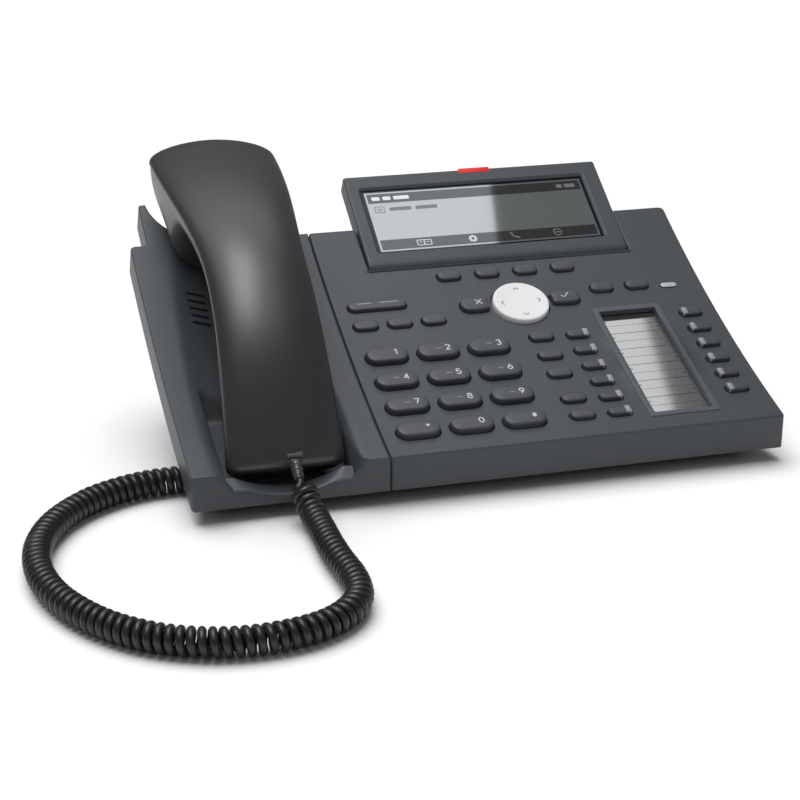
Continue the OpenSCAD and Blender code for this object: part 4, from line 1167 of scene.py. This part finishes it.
def sweep_x(name, prof, x0, x1, mat, body, f=0.8, mapf=D, replaces=(), angle=32):
    """Side profile (v, n), CCW, carried along x, with rounded ends."""
    mb = MB(); prev = None; first = None
    st = [(x0 + f * (1 - math.cos(a)), f * (1 - math.sin(a))) for a in np.linspace(0, math.pi / 2, 5)]
    st2 = [(x1 - (x - x0), o) for x, o in st][::-1]
    for x, o in st + st2:
        l = offset(prof, -o)
        cur = mb.add(mapf(np.full(len(l), x), l[:, 0], l[:, 1]))
        if prev is None: first = cur
        else: mb.bridge(prev, cur)
        prev = cur
    mb.cap(prev); mb.cap(first[::-1])
    return make(name, mb.v, mb.f, mat, body=body, replaces=replaces, angle=angle)


sweep_x("display_back", prof_b, DX0 + 0.15, DX1 - 0.15, "housing", "display", 0.6, replaces=("display_back_cover",))
prof_r = rounded([(29.5, -4.0), (33.8, -8.4), (49.8, -8.4), (52.6, -4.0)], [0.8, 2.0, 1.6, 0.6], 5)
x_ = prof_r; area = (x_[:, 0] * np.roll(x_[:, 1], -1) - np.roll(x_[:, 0], -1) * x_[:, 1]).sum()
if area < 0: prof_r = prof_r[::-1]
sweep_x("display_back_rise", prof_r, DX0 + 14, DX1 - 14, "housing", "display", 1.2)
# hinge pins at both ends
for i, (a, b) in enumerate(((DX0 - 2.5, DX0 + 0.3), (DX1 - 0.3, DX1 + 2.5))):
    pr = circ(0, 0, 1.95, 0, 28)
    sweep_x(f"hinge_pin_{i+1}", pr, a, b, "stand", "display", 0.25)

# alert lamp: a clear red block let into the top edge, proud of it
lp = rounded([(50.45, 0.25), (53.55, 0.25), (53.55, 4.72), (50.45, 4.72)], [0.25, 0.25, 0.7, 0.25], 4)
sweep_x("alert_lens", lp, 78.2, 93.1, "red", "display", 0.35, replaces=("alert_lamp",))

# the screen: a dark surround under the window, the ground, bars, marks; all carry the same clear gloss
def sheet_box(mb, x0, x1, v0, v1, n0, n1, mapf=D, r=0.0):
    if r > 0:
        l = rrect((x0 + x1) / 2, (v0 + v1) / 2, x1 - x0, v1 - v0, r, 0, 4)
    else:
        l = np.array([(x0, v0), (x1, v0), (x1, v1), (x0, v1)], float)
    a = mb.add(mapf(l[:, 0], l[:, 1], n0)); b = mb.add(mapf(l[:, 0], l[:, 1], n1))
    mb.bridge(a, b); mb.cap(a[::-1]); mb.cap(b)


LX0, LX1, LV0, LV1 = 30.3, 135.7, 7.1, 43.1
N0 = 3.0
mb = MB(); sheet_box(mb, 28.4, 137.6, 5.3, 44.9, 1.6, N0)
make("screen_surround", mb.v, mb.f, "lcd_dark", body="display", replaces=("lcd_module",), angle=30)
mb = MB(); sheet_box(mb, LX0, LX1, LV0, LV1, N0, N0 + 0.03)
make("screen_ground", mb.v, mb.f, "lcd_bg", body="display", angle=30)
mb = MB()
sheet_box(mb, LX0 + 0.9, LX1 - 0.9, LV1 - 6.6, LV1 - 0.9, N0 + 0.03, N0 + 0.05)
sheet_box(mb, LX0 + 0.9, LX1 - 0.9, LV0 + 0.9, LV0 + 6.9, N0 + 0.03, N0 + 0.05)
make("screen_bars", mb.v, mb.f, "lcd_bar", body="display", angle=30)
DM = lambda x, v, h: D(x, v, h)
mb = MB()
hi0, hi1 = N0 + 0.05, N0 + 0.07
# plain blocks where a date line and a clock would be
for x0, x1 in ((33.2, 37.0), (38.4, 42.2), (43.6, 51.0)):
    sheet_box(mb, x0, x1, LV1 - 4.9, LV1 - 2.7, hi0, hi1, r=0.4)
for x0, x1 in ((123.2, 126.0), (127.2, 132.4)):
    sheet_box(mb, x0, x1, LV1 - 4.9, LV1 - 2.7, hi0, hi1, r=0.4)
# book
vb = LV0 + 3.9
for sg in (-1, 1):
    c0 = 51.5 + sg * 1.7
    ribbon(mb, rrect(c0, vb, 3.2, 3.0, 0.3, 0, 3), 0.35, hi0, hi1, DM, closed=True)
    ribbon(mb, np.array([(c0 - 0.8, vb + 0.3), (c0 + 0.8, vb + 0.3)]), 0.3, hi0, hi1, DM)
# cog: ring with short teeth
ribbon(mb, circ(74.6, vb, 1.25, 0, 24), 0.75, hi0, hi1, DM, closed=True)
for k in range(8):
    a = k * math.pi / 4
    ribbon(mb, np.array([(74.6 + 1.5 * math.cos(a), vb + 1.5 * math.sin(a)), (74.6 + 2.15 * math.cos(a), vb + 2.15 * math.sin(a))]), 0.6, hi0, hi1, DM)
# receiver
ribbon(mb, np.array([(93.2, vb + 1.7), (93.6, vb + 0.2), (94.8, vb - 1.0), (96.3, vb - 1.5)]), 0.7, hi0, hi1, DM)
ribbon(mb, np.array([(92.7, vb + 1.9), (94.1, vb + 1.3)]), 0.8, hi0, hi1, DM)
ribbon(mb, np.array([(95.6, vb - 0.5), (96.7, vb - 1.9)]), 0.8, hi0, hi1, DM)
# do not disturb: ring with a bar
ribbon(mb, circ(115.6, vb, 1.9, 0, 28), 0.5, hi0, hi1, DM, closed=True)
ribbon(mb, np.array([(114.6, vb), (116.6, vb)]), 0.6, hi0, hi1, DM)
make("screen_marks", mb.v, mb.f, "lcd_icon", body="display", angle=30)
mb = MB()
# contact mark and a plain line on the ground
ribbon(mb, rrect(35.6, LV1 - 10.6, 4.4, 3.6, 0.3, 0, 3), 0.4, N0 + 0.03, N0 + 0.05, DM, closed=True)
ribbon(mb, np.array([(34.4, LV1 - 10.2), (36.8, LV1 - 10.2)]), 0.4, N0 + 0.03, N0 + 0.05, DM)
ribbon(mb, np.array([(34.4, LV1 - 11.2), (36.8, LV1 - 11.2)]), 0.4, N0 + 0.03, N0 + 0.05, DM)
for x0, x1 in ((40.2, 50.6), (52.6, 63.0)):
    sheet_box(mb, x0, x1, LV1 - 11.7, LV1 - 9.6, N0 + 0.03, N0 + 0.05, r=0.5)
make("screen_lines", mb.v, mb.f, "lcd_line", body="display", angle=30)

# ------------------------------------------------------------------ label window
_ly, _lz, LT = P0(LAB[1])
def LM(x, v, n):
    """Flat plane of the label: x, v up the slope from its middle, n outwards."""
    x, v, n = np.broadcast_arrays(np.asarray(x, float), np.asarray(v, float), np.asarray(n, float))
    return W(np.stack([x, _ly + v * math.cos(LT) - n * math.sin(LT), _lz + v * math.sin(LT) + n * math.cos(LT)], -1))


hw2, hl2 = LAB_W / 2 - 0.15, LAB_L / 2 - 0.15
mb = MB(); sheet_box(mb, LAB[0] - hw2 - 0.8, LAB[0] + hw2 + 0.8, -hl2 - 0.8, hl2 + 0.8, -4.3, -1.62, LM)
make("label_paper", mb.v, mb.f, "paper", replaces=("label_insert",), angle=30)
mb = MB()
for k in range(13):
    v = hl2 - 1.6 - k * (2 * hl2 - 3.2) / 12
    ribbon(mb, np.array([(LAB[0] - hw2 + 0.4, v), (LAB[0] + hw2 - 0.4, v)]), 0.22 if k % 2 else 0.38, -1.62, -1.60, LM)
for k in range(12):
    v = hl2 - 1.6 - (k + 0.5) * (2 * hl2 - 3.2) / 12
    if k % 2 == 0:
        ribbon(mb, np.array([(LAB[0] - hw2 + 1.2, v), (LAB[0] - hw2 + 2.4, v)]), 0.7, -1.62, -1.60, LM)
    else:
        ribbon(mb, np.array([(LAB[0] + hw2 - 2.4, v), (LAB[0] + hw2 - 1.2, v)]), 0.7, -1.62, -1.60, LM)
make("label_lines", mb.v, mb.f, "rule", angle=30)
# raised frame round the window
slab_piece("label_frame", lambda o: rrect_d(LAB[0], LAB[1], LAB_W + 5.6, LAB_L + 5.6, 1.2, o, 5, 6, 16), [lambda o: rrect_d(LAB[0], LAB[1], LAB_W, LAB_L, 0.5, o, 5, 6, 16)],
           0.42, -0.05, 0.35, "frame", "root", MF, fb=0.02, fh=0.3, angle=30)

# message lamp
mb = MB(); prev = None
for o, h in [(0, -2.0), (0, 0.25), (-0.08, 0.42), (-0.3, 0.5)]:
    l = pill(LAMP[0], LAMP[1], 7.6, 2.9, o, 8); cur = mb.add(MF(l[:, 0], l[:, 1], h))
    if prev is None: mb.cap(cur[::-1])
    else: mb.bridge(prev, cur)
    prev = cur
mb.cap(prev)
make("message_lens", mb.v, mb.f, "lamp", angle=40)

# ------------------------------------------------------------------ plugs
def PL(x, y, z):
    """Handset plug's own frame."""
    x, y, z = np.broadcast_arrays(np.asarray(x, float), np.asarray(y, float), np.asarray(z, float))
    c_, s_ = math.cos(math.radians(50)), math.sin(math.radians(50))
    return W(np.stack([-38 + x, 3 + y * c_ + z * s_, 0.2 - y * s_ + z * c_], -1))


def block(mb, x0, x1, y0, y1, z0, z1, r=0.5, mapf=PL, f=0.3):
    prev = None
    for z, o in [(z0, -f), (z0 + f * 0.3, -f * 0.3), (z0 + f, 0), (z1 - f, 0), (z1 - f * 0.3, -f * 0.3), (z1, -f)]:
        l = rrect((x0 + x1) / 2, (y0 + y1) / 2, x1 - x0, y1 - y0, r, o, 4)
        cur = mb.add(mapf(l[:, 0], l[:, 1], z))
        if prev is None: mb.cap(cur[::-1])
        else: mb.bridge(prev, cur)
        prev = cur
    mb.cap(prev)


mb = MB()
block(mb, -3.4, 3.4, -2.9, 1.9, 1.7, 12.6, 0.5)
block(mb, -1.5, 1.5, 1.7, 2.9, 1.3, 9.0, 0.4)          # release latch
block(mb, -2.4, 2.4, -1.9, 1.6, 0.2, 2.4, 1.2)
# boot round the cord
prev = None
for z, r in [(-6.9, 1.7), (-6.8, 1.9), (-5.6, 2.0), (-5.4, 2.35), (-4.7, 2.35), (-4.5, 2.0), (-3.3, 2.1), (-3.1, 2.45), (-2.4, 2.45), (-2.2, 2.1), (-1.0, 2.2), (-0.8, 2.5), (0.0, 2.5), (0.4, 2.3)]:
    l = circ(0, -0.15, r, 0, 28); cur = mb.add(PL(l[:, 0], l[:, 1], z))
    if prev is None: mb.cap(cur[::-1])
    else: mb.bridge(prev, cur)
    prev = cur
mb.cap(prev)
hplug = make("handset_plug_body", mb.v, mb.f, "plug_dark", body="handset", replaces=("handset_plug",), angle=40)
BP = lambda x, y, z: W(np.stack(np.broadcast_arrays(np.asarray(z, float), np.asarray(x, float), np.asarray(y, float)), -1))
mb = MB()
block(mb, 32.0, 38.6, -15.0, -10.6, -68.4, -56.6, 0.5, BP)
block(mb, 33.8, 36.8, -10.8, -8.7, -68.4, -60.0, 0.4, BP)
prev = None
for z, r in [(-72.3, 1.8), (-72.2, 2.0), (-71.0, 2.2), (-70.8, 2.35), (-70.0, 2.35), (-69.8, 2.2), (-68.2, 2.35)]:
    l = circ(35.2, -12.4, r, 0, 24); cur = mb.add(BP(l[:, 0], l[:, 1], z))
    if prev is None: mb.cap(cur[::-1])
    else: mb.bridge(prev, cur)
    prev = cur
mb.cap(prev)
bplug = make("base_plug_body", mb.v, mb.f, "plug", replaces=("base_plug",), angle=40)

# ------------------------------------------------------------------ CAD nodes that stay in view
for n_, m_ in {"base_housing": "housing", "foot_stand": "stand", "feet_and_screws": "rubber", "hook_switch": "screwsteel", "main_board": "board", "keypad_mat": "mat"}.items():
    o_ = NODES[n_]
    o_.data.materials.clear()
    o_.data.materials.append(MAT[m_])

# ------------------------------------------------------------------ floor and light
fme = bpy.data.meshes.new("floor")
fme.from_pydata([(-60, -60, 0), (60, -60, 0), (60, 60, 0), (-60, 60, 0)], [], [(0, 1, 2, 3)])
floor = bpy.data.objects.new("floor", fme)
scene.collection.objects.link(floor)
fme.materials.append(moulded("floor_paper", (0.90, 0.90, 0.90), rough=0.75, grain=200, bump=0.0, var=0.01, spec=0.2))

world = bpy.data.worlds.new("studio")
scene.world = world
world.use_nodes = True
world.node_tree.nodes["Background"].inputs[0].default_value = (1.0, 1.0, 1.0, 1)
world.node_tree.nodes["Background"].inputs[1].default_value = 0.20


def group(name, state):
    c = bpy.data.collections.new(name)
    c.objects.link(floor)
    c.collection_objects[0].light_linking.link_state = state
    return c


floor_only, phone_only = group("floor_only", "INCLUDE"), group("phone_only", "EXCLUDE")


def softbox(name, loc, turn, sx, sy, radiance, tilt=(0.0, 0.0)):
    """Level softbox; radiance in scene units; turned about its own middle."""
    l = bpy.data.lights.new(name, "AREA")
    l.shape = "RECTANGLE"; l.size, l.size_y = sx, sy
    l.energy = radiance * math.pi * sx * sy
    o = bpy.data.objects.new(name, l)
    scene.collection.objects.link(o)
    o.location = loc
    o.rotation_euler = Euler((math.radians(tilt[0]), math.radians(tilt[1]), math.radians(turn)), "XYZ")
    o.light_linking.receiver_collection = phone_only
    return o


# the right-hand edges of these boxes are the light boundaries seen in the screen and in the label
def box_between(name, x0, x1, y0, y1, z, radiance):
    return softbox(name, ((x0 + x1) / 2, (y0 + y1) / 2, z), 0.0, x1 - x0, y1 - y0, radiance)


box_between("softbox_top", -0.78, 0.352, -0.70, 0.95, 1.0, 1.15)
box_between("softbox_side", 0.352, 0.553, 0.36, 0.95, 1.0, 1.10)
softbox("softbox_strip", (-0.24, -0.12, 0.99), -18.0, 0.36, 0.70, 5.5)
sun = bpy.data.lights.new("floor_sun", "SUN")
sun.energy = 3.35; sun.angle = math.radians(55)
sun_o = bpy.data.objects.new("floor_sun", sun)
scene.collection.objects.link(sun_o)
sun_o.rotation_euler = Euler((math.radians(-24), math.radians(-4), 0), "XYZ")
sun_o.light_linking.receiver_collection = floor_only
scene.view_settings.view_transform = "Standard"
scene.view_settings.exposure = 0.0

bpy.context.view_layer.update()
